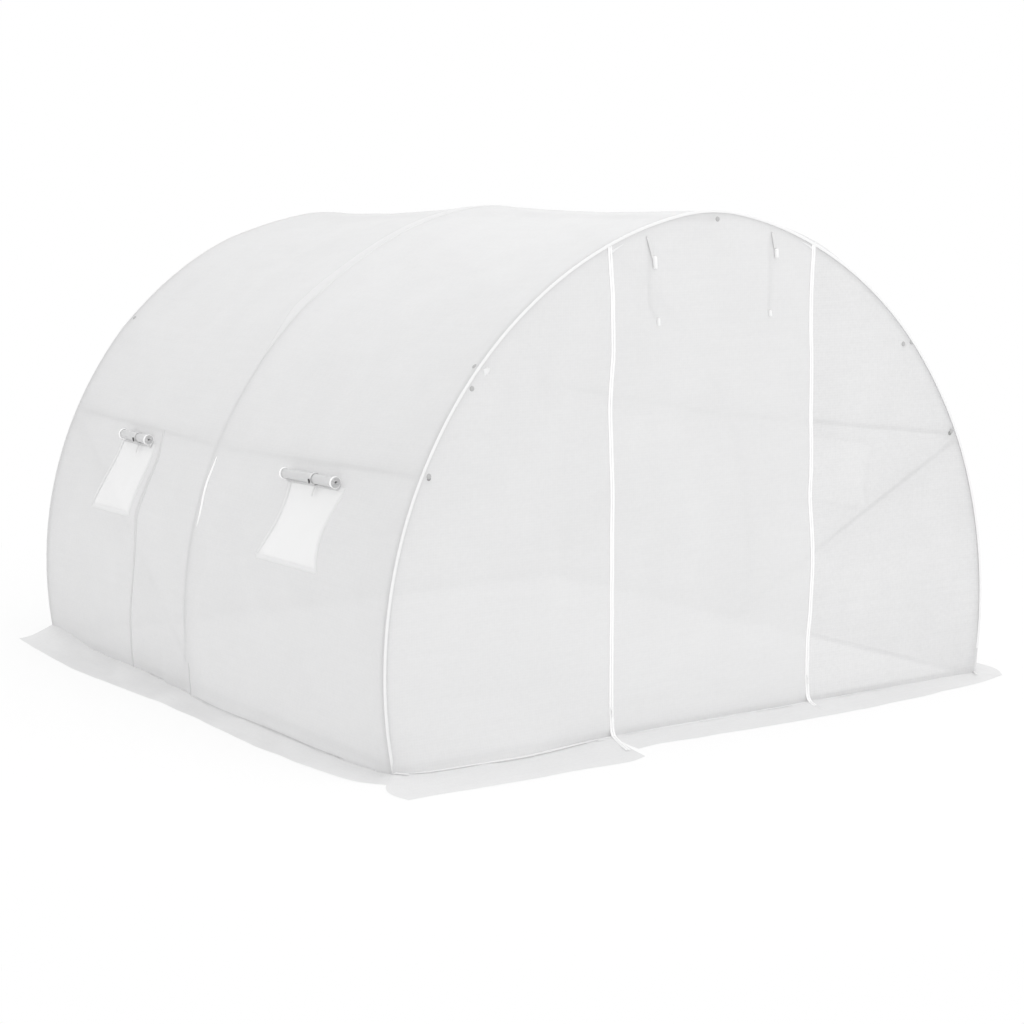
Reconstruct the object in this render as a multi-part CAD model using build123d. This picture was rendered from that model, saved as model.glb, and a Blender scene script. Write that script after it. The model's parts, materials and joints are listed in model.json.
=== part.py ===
# Polytunnel greenhouse: an arched tube frame under a translucent film cover, with a roll-up
# front door between two zips and four screened windows. Millimetres, +Z up, the front towards
# -Y. The origin is on the ground, at the middle of the footprint.
import os
from math import asin, atan2, cos, radians, sin, sqrt, tan

from build123d import *

# Overall size of the frame, over the tubes
width = 3000.0
length = 3000.0
height = 2000.0

# The hoops' outer line: two side arcs and a tighter crown arc, tangent to each other
centre_shift = 160.0       # a side arc's centre lies this far beyond the middle of the tunnel
crown_radius = 784.0
hoop_names = ["front", "middle", "back"]

# Tubes
tube_diameter = 25.0
purlin_diameter = 19.0
rail_diameter = 25.0
brace_diameter = 16.0
joint_height = 1440.0      # where a hoop's leg ends and its arch tube begins
purlin_height = 1050.0
tube_sides = 8             # the frame's tubes are drawn with flat sides
brace_foot_height = 50.0
brace_drop = 40.0          # from the purlin down to the brace's upper end
flat_length = 42.0         # a brace's ends are pressed flat, to be bolted to the hoops
flat_width = 24.0
flat_thickness = 3.0
flat_taper = 38.0          # the stretch over which the round tube turns flat
bolt_hole = 7.0
brace_standoff = 1.6       # the straight brace leaves the curved hoops at a slant

# Film, drawn thicker than the real one
film = 3.0
seat = 0.3                 # clearance between pieces that rest on each other
seam_place = 540.0         # the two sheets of the cover meet here, along Y

# Windows: leaning openings, because the film around them hangs slack
window_places = [-800.0, 790.0]
window_width = 405.0
window_height = 310.0
window_sill = 640.0
window_lean = 80.0         # the sill lies this much further back than the head
screen = 1.5
roll_diameter = 50.0
roll_overhang = 20.0       # a rolled flap is this much longer than its window at each end
roll_rise = 32.0           # from the window's head up to the roll's middle

# Door
door_width = 1000.0
zip_width = 22.0
zip_thickness = 4.0
tie_width = 22.0
tie_thickness = 2.0
tie_place = 300.0          # from the door's middle
outer_tie_drop = 135.0
inner_tie_drop = 330.0
binding_width = 12.0       # the tape that is sewn round both ends of the cover
binding_thickness = 3.0

# Skirts: film flaps that lie on the ground around the tunnel
side_skirt_reach = 230.0   # at the middle of its length
side_skirt_end = 145.0
front_skirt_reach = 320.0
door_skirt_reach = 155.0
back_skirt_reach = 320.0
skirt_corner = 75.0
skirt_splay = 115.0

# Worked out from the sizes above. side_x and side_z are the centre of the right side arc.
side_radius = width / 2 + centre_shift
side_x = -centre_shift
crown_z = height - crown_radius
side_z = crown_z - sqrt((side_radius - crown_radius) ** 2 - side_x**2)
shoulder = atan2(crown_z - side_z, -side_x)
end_y = length / 2
hoop_y = [-end_y + tube_diameter / 2, 0.0, end_y - tube_diameter / 2]
film_y = end_y + seat + film
cover_inset = -seat - film   # the cover's outer face
under = 2 * tube_diameter    # how far a piece runs on below the ground before it is cut off there


# A point of the right half of the arch line, moved inwards by inset, at an angle of its arc
def side_point(angle, inset, y=0.0):
    radius = side_radius - inset
    return Vector(side_x + radius * cos(angle), y, side_z + radius * sin(angle))


def crown_point(angle, inset, y=0.0):
    radius = crown_radius - inset
    return Vector(radius * cos(angle), y, crown_z + radius * sin(angle))


def side_angle(z, inset):
    return asin((z - side_z) / (side_radius - inset))


# The right half of the arch at a height
def at_height(z, inset, y=0.0):
    if z <= side_point(shoulder, inset).Z:
        return side_point(side_angle(z, inset), inset, y)
    radius = crown_radius - inset
    return Vector(sqrt(max(radius**2 - (z - crown_z) ** 2, 0.0)), y, z)


def mirrored(point):
    return Vector(-point.X, point.Y, point.Z)


def arc(place, first, last, inset, y=0.0):
    return ThreePointArc(
        place(first, inset, y), place((first + last) / 2, inset, y), place(last, inset, y)
    )


# The section of a frame tube. Its flats stand at the tube's radius.
def tube_section(diameter):
    return RegularPolygon(diameter / 2, tube_sides, major_radius=False, rotation=180 / tube_sides)


# A bent tube, with one flat facing outwards
def bent_tube(path, diameter):
    plane = Plane(origin=path @ 0, x_dir=(0, 1, 0), z_dir=path % 0)
    return sweep(plane * tube_section(diameter), path=path)


# A straight tube, with one flat facing the way given
def straight_tube(start, end, diameter, facing):
    plane = Plane(origin=start, x_dir=facing, z_dir=end - start)
    return extrude(plane * tube_section(diameter), amount=(end - start).length)


def flip(solid):
    return mirror(solid, about=Plane.YZ)


def box_between(low, high):
    size = [high[i] - low[i] for i in range(3)]
    middle = [(high[i] + low[i]) / 2 for i in range(3)]
    return Pos(*middle) * Box(*size)


# A block with the arch's outline, from y_low to y_high, down to z_low
def arch_block(inset, y_low, y_high, z_low=0.0):
    foot = side_angle(z_low, inset)
    right = arc(side_point, foot, shoulder, inset)
    crown = ThreePointArc(
        side_point(shoulder, inset), crown_point(radians(90), inset), mirrored(side_point(shoulder, inset))
    )
    left = ThreePointArc(
        mirrored(side_point(shoulder, inset)),
        mirrored(side_point((foot + shoulder) / 2, inset)),
        mirrored(side_point(foot, inset)),
    )
    base = Line(left @ 1, right @ 0)
    face = Face(Wire([right, crown, left, base]))
    return Pos(0, y_low, 0) * extrude(face, amount=y_high - y_low, dir=(0, 1, 0))


def inside(solid, y_low, y_high, z_low, z_high, x_low=-width, x_high=width):
    return solid & box_between((x_low, y_low, z_low), (x_high, y_high, z_high))


nodes = {}

# Hoops: each is four tubes, two legs and two arch tubes that meet at the ridge
leg_top = side_angle(joint_height, tube_diameter / 2)
below_ground = box_between((-width, -length, -2 * under), (width, length, 0))
for hoop, y in zip(hoop_names, hoop_y):
    inset = tube_diameter / 2
    leg_path = arc(side_point, side_angle(-under, inset), leg_top, inset, y)
    leg = bent_tube(leg_path, tube_diameter) - below_ground
    arch_path = Wire([
        arc(side_point, leg_top, shoulder, inset, y),
        arc(crown_point, shoulder, radians(90), inset, y),
    ])
    arch = bent_tube(arch_path, tube_diameter)
    nodes[f"{hoop}_leg_right"] = leg
    nodes[f"{hoop}_leg_left"] = flip(leg)
    nodes[f"{hoop}_arch_right"] = arch
    nodes[f"{hoop}_arch_left"] = flip(arch)

# Purlins, bolted to the inner side of the hoops
purlin_inset = tube_diameter + seat + purlin_diameter / 2
purlin_angle = side_angle(purlin_height, purlin_inset)
purlin_facing = Vector(cos(purlin_angle), 0, sin(purlin_angle))
for bay, y_low, y_high in [("front", -end_y, 0.0), ("back", 0.0, end_y)]:
    purlin = straight_tube(
        side_point(purlin_angle, purlin_inset, y_low),
        side_point(purlin_angle, purlin_inset, y_high),
        purlin_diameter,
        purlin_facing,
    )
    nodes[f"purlin_right_{bay}"] = purlin
    nodes[f"purlin_left_{bay}"] = flip(purlin)
    nodes[f"ridge_{bay}"] = straight_tube(
        crown_point(radians(90), purlin_inset, y_low),
        crown_point(radians(90), purlin_inset, y_high),
        purlin_diameter,
        Vector(0, 0, 1),
    )

# Base rails: the side rails lie inside the legs, and the end rails run between them. The lower
# edge of a side rail's outer flat meets the slanting legs.
rail_flat_low = rail_diameter / 2 * (1 - tan(radians(180 / tube_sides)))
rail_x = at_height(rail_flat_low, tube_diameter + seat).X - rail_diameter / 2
side_rail = straight_tube(
    Vector(rail_x, -end_y, rail_diameter / 2),
    Vector(rail_x, end_y, rail_diameter / 2),
    rail_diameter,
    Vector(0, 0, 1),
)
nodes["base_rail_right"] = side_rail
nodes["base_rail_left"] = flip(side_rail)
end_rail_half = rail_x - rail_diameter / 2 - seat
for end, sign in [("front", -1), ("back", 1)]:
    y = sign * (end_y - rail_diameter / 2)
    nodes[f"base_rail_{end}"] = straight_tube(
        Vector(-end_rail_half, y, rail_diameter / 2),
        Vector(end_rail_half, y, rail_diameter / 2),
        rail_diameter,
        Vector(0, 0, 1),
    )

# Diagonal braces: the left one stiffens the back bay and the right one the front bay. Each is a
# straight tube with both ends pressed flat, bolted to the inner side of two hoops.
brace_inset = tube_diameter + brace_standoff + flat_thickness / 2


# The section of a brace: an octagon that is round where the tube is, and squashed where it is flat
def brace_section(thickness, breadth):
    corner = [radians(180 / tube_sides + 360 / tube_sides * i) for i in range(tube_sides)]
    flat = cos(radians(180 / tube_sides))
    points = [(thickness / 2 * cos(a) / flat, breadth / 2 * sin(a) / flat) for a in corner]
    return make_face(Polyline(*points, close=True))


# The flat end at a bolt, and the stretch where the flat turns round again, towards the other bolt
def pressed_end(bolt, other):
    axis = other - bolt
    axis = axis / axis.length
    angle = side_angle(bolt.Z, brace_inset)
    inward = Vector(-cos(angle), 0, -sin(angle))
    tip = flat_width / 2
    flat = Pos(0, 0, -tip) * extrude(brace_section(flat_thickness, flat_width), amount=tip + flat_length)
    rounding = extrude(Plane.YZ * Circle(tip), amount=tip, both=True)
    rounding += box_between((-tip, -tip, 0), (tip, tip, flat_length))
    hole = extrude(Plane.YZ * Circle(bolt_hole / 2), amount=tip, both=True)
    taper = loft([
        Pos(0, 0, flat_length) * brace_section(flat_thickness, flat_width),
        Pos(0, 0, flat_length + flat_taper) * brace_section(brace_diameter, brace_diameter),
    ], ruled=True)
    frame = Plane(origin=bolt, x_dir=inward - axis * inward.dot(axis), z_dir=axis)
    return frame * ((flat & rounding) + taper - hole), frame


brace_foot = at_height(brace_foot_height, brace_inset, hoop_y[1])
brace_head = at_height(purlin_height - brace_drop, brace_inset, hoop_y[0])
foot_end, foot_frame = pressed_end(brace_foot, brace_head)
head_end, head_frame = pressed_end(brace_head, brace_foot)
end_length = flat_length + flat_taper
shank = loft([
    foot_frame * Pos(0, 0, end_length) * brace_section(brace_diameter, brace_diameter),
    head_frame * Pos(0, 0, end_length) * brace_section(brace_diameter, brace_diameter),
], ruled=True)
brace = foot_end + shank + head_end
nodes["brace_right"] = brace
nodes["brace_left"] = Rot(0, 0, 180) * brace

# Cover: two sheets over the hoops, each cut into two walls and a roof at the purlins
film_foot = film + seat
cover = arch_block(cover_inset, -film_y, film_y) - arch_block(-seat, -length, length, -under)


# The window's opening as a block that passes through the right wall, drawn in by a margin
def window_block(place, margin=0.0):
    sill, head = window_sill + margin, window_sill + window_height - margin
    half = window_width / 2 - margin
    outline = Polyline(
        (0, place - half, head), (0, place + half, head),
        (0, place + half + window_lean, sill), (0, place - half + window_lean, sill), close=True,
    )
    return extrude(make_face(outline), amount=width, dir=(1, 0, 0))


for sheet, y_low, y_high, place in [
    ("front", -film_y, seam_place, window_places[0]),
    ("back", seam_place, film_y, window_places[1]),
]:
    wall = inside(cover, y_low, y_high, film_foot, purlin_height, x_low=0) - window_block(place)
    nodes[f"right_wall_{sheet}"] = wall
    nodes[f"left_wall_{sheet}"] = flip(wall)
    nodes[f"roof_{sheet}"] = inside(cover, y_low, y_high, purlin_height, 2 * height)

# Window screens, level with the film, and the rolled flaps tied above them
screen_shell = arch_block(-seat - screen, -end_y, end_y) - arch_block(-seat, -length, length, -under)
screens = [screen_shell & window_block(place, seat) for place in window_places]
roll_z = window_sill + window_height + roll_rise
roll_inset = cover_inset - seat - roll_diameter / 2
roll_length = window_width + 2 * roll_overhang
roll = Rot(-90, 0, 0) * Cylinder(roll_diameter / 2, roll_length)
rolls = [Pos(*at_height(roll_z, roll_inset, place)) * roll for place in window_places]
nodes["window_screens_right"] = Compound(screens)
nodes["window_screens_left"] = Compound([flip(piece) for piece in screens])
nodes["window_rolls_right"] = Compound(rolls)
nodes["window_rolls_left"] = Compound([flip(piece) for piece in rolls])

# End walls, inside the edge of the cover. The front one is parted at the two door zips.
end_wall = inside(arch_block(0, -film_y, -end_y - seat), -film_y, 0, film_foot, height)
door_half = door_width / 2
nodes["front_panel_left"] = inside(end_wall, -film_y, 0, 0, height, x_high=-door_half)
nodes["front_door"] = inside(end_wall, -film_y, 0, 0, height, x_low=-door_half, x_high=door_half)
nodes["front_panel_right"] = inside(end_wall, -film_y, 0, 0, height, x_low=door_half)
nodes["back_wall"] = Rot(0, 0, 180) * end_wall

# Binding tape round both ends, on the end walls and level with the cover's outer face
binding_inset = cover_inset + binding_width
outer_y = -film_y - seat
front_binding = arch_block(cover_inset, outer_y - binding_thickness, outer_y, film_foot)
front_binding -= arch_block(binding_inset, -length, 0, -under)
nodes["end_piping"] = Compound([front_binding, Rot(0, 0, 180) * front_binding])

# Door zips, on the outside of the film and up to the binding
zips = []
for sign in [-1, 1]:
    x = sign * door_half
    strip = box_between(
        (x - zip_width / 2, outer_y - zip_thickness, film_foot), (x + zip_width / 2, outer_y, height)
    )
    zips.append(strip & arch_block(binding_inset + seat, -length, 0))
nodes["door_zips"] = Compound(zips)

# Ties that hold the rolled door: a short one outside and a long one inside, on each side
ties = []
for sign in [-1, 1]:
    x = sign * tie_place
    tie_top = crown_z + sqrt((crown_radius - tube_diameter * 2) ** 2 - tie_place**2)
    for drop, y in [(outer_tie_drop, outer_y - tie_thickness), (inner_tie_drop, -end_y)]:
        ties.append(box_between(
            (x - tie_width / 2, y, tie_top - drop), (x + tie_width / 2, y + tie_thickness, tie_top)
        ))
nodes["door_ties"] = Compound(ties)


# Skirts, flat on the ground: plates with the given corners
def plate(corners):
    return extrude(make_face(Polyline(*corners, close=True)), amount=film)


# A side skirt is widest at the middle, and its front corner runs out beyond the end wall
skirt_x = at_height(film, 0).X + 2 * seat
skirt_y = end_y + seat
skirt_edge = [
    Vector(skirt_x + side_skirt_end, -skirt_y),
    Vector(skirt_x + side_skirt_reach, 0),
    Vector(skirt_x + side_skirt_end, skirt_y),
]
side_skirt_outline = ThreePointArc(*skirt_edge) + Polyline(
    skirt_edge[2],
    (skirt_x, skirt_y),
    (skirt_x, -skirt_y),
    (skirt_x + skirt_corner, -skirt_y - skirt_corner),
    skirt_edge[0],
)
side_skirt = extrude(make_face(side_skirt_outline), amount=film)
nodes["skirt_right"] = side_skirt
nodes["skirt_left"] = flip(side_skirt)
nodes["skirt_front"] = Compound([
    plate([
        (-skirt_x, -skirt_y - seat),
        (-skirt_x - skirt_splay, -skirt_y - front_skirt_reach),
        (-door_half - skirt_corner, -skirt_y - front_skirt_reach),
        (-door_half - seat, -skirt_y - seat),
    ]),
    plate([
        (-door_half + seat, -skirt_y - seat),
        (-door_half + seat, -skirt_y - door_skirt_reach),
        (skirt_x, -skirt_y - door_skirt_reach),
        (skirt_x, -skirt_y - seat),
    ]),
])
nodes["skirt_back"] = plate([
    (-skirt_x, skirt_y + seat),
    (skirt_x, skirt_y + seat),
    (skirt_x - skirt_splay, skirt_y + back_skirt_reach),
    (-skirt_x + skirt_splay, skirt_y + back_skirt_reach),
])

os.makedirs("parts", exist_ok=True)
for name, solid in nodes.items():
    export_step(solid, f"parts/{name}.step")
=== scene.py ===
import json
import math

import bpy
import numpy as np
from mathutils import Vector, noise
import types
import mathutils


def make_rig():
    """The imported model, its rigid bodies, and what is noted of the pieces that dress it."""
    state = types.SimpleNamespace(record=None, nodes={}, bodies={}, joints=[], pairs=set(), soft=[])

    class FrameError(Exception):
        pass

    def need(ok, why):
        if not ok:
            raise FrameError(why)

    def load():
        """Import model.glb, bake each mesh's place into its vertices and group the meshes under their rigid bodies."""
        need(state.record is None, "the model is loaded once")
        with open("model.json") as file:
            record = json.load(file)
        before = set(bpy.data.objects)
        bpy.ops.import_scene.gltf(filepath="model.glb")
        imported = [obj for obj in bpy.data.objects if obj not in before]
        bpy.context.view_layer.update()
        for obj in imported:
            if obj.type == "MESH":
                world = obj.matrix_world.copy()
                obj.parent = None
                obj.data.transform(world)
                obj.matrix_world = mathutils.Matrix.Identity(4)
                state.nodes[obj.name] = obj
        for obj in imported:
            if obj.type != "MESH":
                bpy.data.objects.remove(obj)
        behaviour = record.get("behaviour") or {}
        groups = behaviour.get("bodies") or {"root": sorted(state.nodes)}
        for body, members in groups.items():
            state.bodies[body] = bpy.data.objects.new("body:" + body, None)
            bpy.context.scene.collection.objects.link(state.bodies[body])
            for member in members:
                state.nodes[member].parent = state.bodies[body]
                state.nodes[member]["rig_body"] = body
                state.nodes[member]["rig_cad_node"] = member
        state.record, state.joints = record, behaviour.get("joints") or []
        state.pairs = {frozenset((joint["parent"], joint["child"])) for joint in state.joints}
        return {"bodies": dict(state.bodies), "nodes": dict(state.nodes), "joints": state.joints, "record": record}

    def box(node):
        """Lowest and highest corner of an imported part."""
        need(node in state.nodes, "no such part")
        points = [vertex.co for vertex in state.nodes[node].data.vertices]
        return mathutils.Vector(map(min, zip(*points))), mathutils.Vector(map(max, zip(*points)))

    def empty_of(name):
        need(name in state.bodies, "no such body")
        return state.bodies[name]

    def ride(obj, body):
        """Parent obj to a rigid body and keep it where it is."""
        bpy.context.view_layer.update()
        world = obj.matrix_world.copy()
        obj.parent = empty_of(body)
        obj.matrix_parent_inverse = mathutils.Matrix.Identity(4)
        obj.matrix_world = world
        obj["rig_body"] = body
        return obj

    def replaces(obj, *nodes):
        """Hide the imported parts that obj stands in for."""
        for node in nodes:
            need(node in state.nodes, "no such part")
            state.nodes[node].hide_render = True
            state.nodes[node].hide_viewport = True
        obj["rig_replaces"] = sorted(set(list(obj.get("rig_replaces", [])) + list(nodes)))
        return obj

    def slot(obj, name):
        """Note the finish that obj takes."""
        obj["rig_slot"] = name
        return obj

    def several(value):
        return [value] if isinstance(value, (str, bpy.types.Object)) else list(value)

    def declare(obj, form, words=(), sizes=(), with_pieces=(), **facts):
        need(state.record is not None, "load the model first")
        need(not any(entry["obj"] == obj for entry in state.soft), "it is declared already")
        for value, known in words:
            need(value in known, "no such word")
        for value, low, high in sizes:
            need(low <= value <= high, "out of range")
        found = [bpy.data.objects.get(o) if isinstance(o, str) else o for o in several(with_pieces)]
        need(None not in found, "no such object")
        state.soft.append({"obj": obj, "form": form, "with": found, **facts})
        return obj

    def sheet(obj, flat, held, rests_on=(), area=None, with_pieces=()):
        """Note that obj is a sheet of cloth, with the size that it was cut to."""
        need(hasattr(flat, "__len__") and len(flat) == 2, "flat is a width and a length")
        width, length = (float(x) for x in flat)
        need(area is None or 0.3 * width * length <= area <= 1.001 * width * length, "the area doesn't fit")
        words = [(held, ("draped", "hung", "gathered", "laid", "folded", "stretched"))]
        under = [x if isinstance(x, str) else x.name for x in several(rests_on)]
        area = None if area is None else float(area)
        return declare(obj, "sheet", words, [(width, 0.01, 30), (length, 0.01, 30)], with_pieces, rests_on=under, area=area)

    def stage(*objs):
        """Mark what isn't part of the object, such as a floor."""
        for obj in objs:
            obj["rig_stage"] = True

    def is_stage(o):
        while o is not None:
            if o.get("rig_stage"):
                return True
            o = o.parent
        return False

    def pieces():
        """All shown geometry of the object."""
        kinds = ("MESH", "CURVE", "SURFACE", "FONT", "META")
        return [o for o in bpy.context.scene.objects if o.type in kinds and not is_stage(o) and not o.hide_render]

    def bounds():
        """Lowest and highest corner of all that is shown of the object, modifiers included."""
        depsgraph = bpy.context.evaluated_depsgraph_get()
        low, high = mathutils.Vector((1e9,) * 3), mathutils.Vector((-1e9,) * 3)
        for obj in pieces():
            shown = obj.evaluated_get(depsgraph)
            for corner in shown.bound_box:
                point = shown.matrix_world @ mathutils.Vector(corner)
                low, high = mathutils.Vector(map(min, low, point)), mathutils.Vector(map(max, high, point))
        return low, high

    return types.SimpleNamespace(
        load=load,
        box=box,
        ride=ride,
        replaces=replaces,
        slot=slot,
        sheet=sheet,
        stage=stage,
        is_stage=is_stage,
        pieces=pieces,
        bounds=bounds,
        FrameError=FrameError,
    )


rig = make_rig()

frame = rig.load()
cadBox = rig.bounds()
scene = bpy.context.scene


# the tunnel's form, read from the frame; the arch is two side arcs and a crown arc
tunnel = {
    "halfWidth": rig.box("front_leg_right")[1][0],
    "height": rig.box("front_arch_right")[1][2],
    "halfLength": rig.box("back_leg_right")[1][1],
    "centreShift": 0.160,  # a side arc's centre lies this far beyond the middle
    "crownRadius": 0.784,
    "tube": 0.025,
    "purlin": 0.019,
    "purlinHeight": 1.05,
    "jointHeight": 1.44,
    "seam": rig.box("roof_back")[0][1],
    "doorHalf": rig.box("front_door")[1][0],
}


class Arch:
    # points along the arch line, measured from the left foot; inset moves them inwards
    def __init__(self, form):
        self.sideRadius = form["halfWidth"] + form["centreShift"]
        self.crownRadius = form["crownRadius"]
        self.sideX = -form["centreShift"]
        self.crownZ = form["height"] - self.crownRadius
        drop = math.sqrt((self.sideRadius - self.crownRadius) ** 2 - self.sideX**2)
        self.sideZ = self.crownZ - drop
        self.shoulder = math.atan2(drop, -self.sideX)
        self.footAngle = math.asin(-self.sideZ / self.sideRadius)
        self.sideLength = self.sideRadius * (self.shoulder - self.footAngle)
        self.half = self.sideLength + self.crownRadius * (math.pi / 2 - self.shoulder)

    def along(self, height, inset=0.0):
        # the distance from a foot to a height on the same side
        angle = math.asin((height - self.sideZ) / (self.sideRadius - inset))
        return self.sideRadius * (angle - self.footAngle)

    def place(self, s, inset=0.0):
        s = np.asarray(s, dtype=float)
        near = np.minimum(s, 2 * self.half - s)
        low = near < self.sideLength
        angle = np.where(
            low,
            self.footAngle + near / self.sideRadius,
            self.shoulder + (near - self.sideLength) / self.crownRadius,
        )
        radius = np.where(low, self.sideRadius, self.crownRadius) - inset
        x = np.where(low, self.sideX, 0.0) + radius * np.cos(angle)
        z = np.where(low, self.sideZ, self.crownZ) + radius * np.sin(angle)
        side = np.where(s < self.half, -1.0, 1.0)
        return side * x, z

    def halfWidthAt(self, z):
        joint = self.sideZ + self.sideRadius * math.sin(self.shoulder)
        side = self.sideX + np.sqrt(np.maximum(self.sideRadius**2 - (z - self.sideZ) ** 2, 0))
        crown = np.sqrt(np.maximum(self.crownRadius**2 - (z - self.crownZ) ** 2, 0))
        return np.where(z <= joint, side, crown)

    def heightAt(self, x):
        # the top of the arch above a place across it
        x = abs(x)
        if x < self.crownRadius * math.cos(self.shoulder):
            return self.crownZ + math.sqrt(self.crownRadius**2 - x**2)
        return self.sideZ + math.sqrt(self.sideRadius**2 - (x - self.sideX) ** 2)


arch = Arch(tunnel)
print("arch ready, half length", round(arch.half, 3))


class Wire:
    # a shader socket that takes part in sums
    def __init__(self, kit, socket):
        self.kit, self.socket = kit, socket

    def maths(self, operation, *others):
        return self.kit.add("Math", {"operation": operation}, dict(enumerate([self, *others])))

    def __add__(self, other):
        return self.maths("ADD", other)

    def __sub__(self, other):
        return self.maths("SUBTRACT", other)

    def __rsub__(self, other):
        return self.kit.add("Math", {"operation": "SUBTRACT"}, {0: other, 1: self})

    def __mul__(self, other):
        return self.maths("MULTIPLY", other)

    def __truediv__(self, other):
        return self.maths("DIVIDE", other)

    def clamped(self):
        return self.maths("MINIMUM", 1.0).maths("MAXIMUM", 0.0)


class Finish:
    # a material whose nodes are added one at a time
    def __init__(self, name):
        self.material = bpy.data.materials.new(name)
        self.material.use_nodes = True
        self.tree = self.material.node_tree
        self.tree.nodes.clear()
        self.output = self.tree.nodes.new("ShaderNodeOutputMaterial")

    def add(self, kind, settings=None, sockets=None, out=0):
        made = self.tree.nodes.new("ShaderNode" + kind)
        for key, value in (settings or {}).items():
            setattr(made, key, value)
        for key, value in (sockets or {}).items():
            if isinstance(value, Wire):
                self.tree.links.new(value.socket, made.inputs[key])
            else:
                made.inputs[key].default_value = value
        return Wire(self, made.outputs[out])

    def cloth(self):
        # the place on the flat cloth, and its two parts
        uv = self.add("UVMap", {"uv_map": "cut"})
        across = self.add("SeparateXYZ", None, {0: uv})
        return uv, across, Wire(self, across.socket.node.outputs[1])

    def noise(self, place, scale, detail, kind="2D"):
        sockets = {"Vector": place, "Scale": scale, "Detail": detail}
        return self.add("TexNoise", {"noise_dimensions": kind}, sockets)

    def mixed(self, share, low, high):
        return self.add("Mix", {"data_type": "RGBA"}, {0: share, 6: low, 7: high}, 2)

    def bump(self, strength, distance, height):
        return self.add("Bump", None, {"Strength": strength, "Distance": distance, "Height": height})

    def skin(self, colour, rough, bump, **extra):
        sockets = {"Base Color": colour, "Roughness": rough, "Normal": bump}
        return self.add("BsdfPrincipled", None, sockets | extra)

    def blend(self, share, first, second):
        return self.add("MixShader", None, {0: share, 1: first, 2: second})

    def soft(self, glow, skin, colour):
        # a share of the light passes on softly
        return self.blend(glow, skin, self.add("BsdfTranslucent", None, {"Color": colour}))

    def opened(self, share, body):
        # a share is seen straight through
        return self.blend(share, body, self.add("BsdfTransparent", None, {"Color": grey(1.0)}))

    def close(self, shader):
        self.tree.links.new(shader.socket, self.output.inputs["Surface"])
        return self.material


def grey(value, blue=1.0):
    return (value, value, value * blue, 1.0)


# woven film: a see-through ground with a fine grid of stronger threads
film = {
    "threadPitch": 0.0105,
    "threadShare": 0.17,
    "tapeStep": 0.0022,
    "ground": 0.822,
    "thread": 0.850,
    "roughness": 0.42,
    "through": 0.05,  # share seen straight through
    "glow": 0.20,  # share of light passed on softly
}
meshPitch = 0.0018


def threadLines(coordinate, pitch, share):
    # 1 on a thread, 0 between threads
    away = ((coordinate / pitch).maths("FRACT") - 0.5).maths("ABSOLUTE") * 2.0
    return ((away - (1.0 - share)) * (4.0 / share)).clamped()


def filmFinish(name, through, glow, ground, thread):
    kit = Finish(name)
    uv, across, up = kit.cloth()
    pitch, share, tape = film["threadPitch"], film["threadShare"], film["tapeStep"]
    grid = threadLines(across, pitch, share).maths("MAXIMUM", threadLines(up, pitch, share))
    fine = threadLines(across, tape, 0.5) * threadLines(up, tape, 0.5)
    cloud, mottle = kit.noise(uv, 3.0, 4.0), kit.noise(uv, 60.0, 3.0)
    streak = kit.noise(kit.add("Mapping", None, {"Vector": uv, "Scale": (0.12, 1.0, 1.0)}), 34.0, 3.0)
    clouds = (cloud - 0.5) * 0.9 + (mottle - 0.5) * 0.45 + (streak - 0.5) * 0.25
    milk = (grid * 0.18 + fine * 0.10 + clouds + 0.34).clamped()
    colour = kit.mixed(milk, grey(ground, 1.003), grey(thread, 1.003))
    rough = (cloud - 0.5) * 0.12 + grid * 0.08 + film["roughness"]
    bump = kit.bump(0.6, 1.0, grid * 0.00007 + fine * 0.00002)
    skin = kit.skin(colour, rough, bump, **{"IOR": 1.45, "Specular IOR Level": 0.35})
    opening = (1.0 - milk) * (through * 1.25) + through * 0.25
    return kit.close(kit.opened(opening, kit.soft(glow, skin, colour)))


def meshFinish():
    # fine insect mesh: round threads with square holes
    kit = Finish("insectMesh")
    uv, across, up = kit.cloth()
    grid = threadLines(across, meshPitch, 0.5).maths("MAXIMUM", threadLines(up, meshPitch, 0.5))
    colour = kit.mixed(kit.noise(uv, 9.0, 3.0), grey(0.97), grey(1.0))
    thread = kit.skin(colour, 0.6, kit.bump(0.5, 1.0, grid * 0.0002))
    return kit.close(kit.opened((1.0 - grid) * 0.12, kit.soft(0.2, thread, colour)))


def tubeFinish(name, shade):
    # galvanised steel: faint spangle over dull clouds
    kit = Finish(name)
    place = kit.add("TexCoord", None, None, 3)
    spangle = kit.add("TexVoronoi", {"feature": "F1"}, {"Vector": place, "Scale": 140.0}, 1)
    blotch = kit.noise(place, 9.0, 5.0, "3D")
    tone = kit.mixed(0.25, grey(shade + 0.04, 1.01), spangle)
    dull = kit.mixed(blotch, grey(shade, 1.01), grey(shade + 0.12, 1.01))
    rough, bump = (blotch - 0.5) * 0.25 + 0.38, kit.bump(0.15, 0.001, blotch)
    return kit.close(kit.skin(kit.mixed(0.12, dull, tone), rough, bump, Metallic=0.60))


def clothFinish(name, shade, pitch, glow, shine=0.0):
    # a tight tape or webbing with a woven rib
    kit = Finish(name)
    uv, across, up = kit.cloth()
    rib = ((across + up) / pitch * math.tau).maths("SINE") * ((across - up) / pitch * math.tau).maths("SINE")
    milk = (rib * 0.3 + kit.noise(uv, 40.0, 4.0) * 0.7).clamped()
    colour = kit.mixed(milk, grey(shade * 0.96), grey(shade))
    bump = kit.bump(0.5, 1.0, rib * (pitch * 0.03))
    # the emission is painted light: a glow that makes the tape brighter
    skin = kit.skin(colour, 0.62, bump, **{"Emission Color": colour, "Emission Strength": shine})
    return kit.close(kit.soft(glow, skin, colour))


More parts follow.
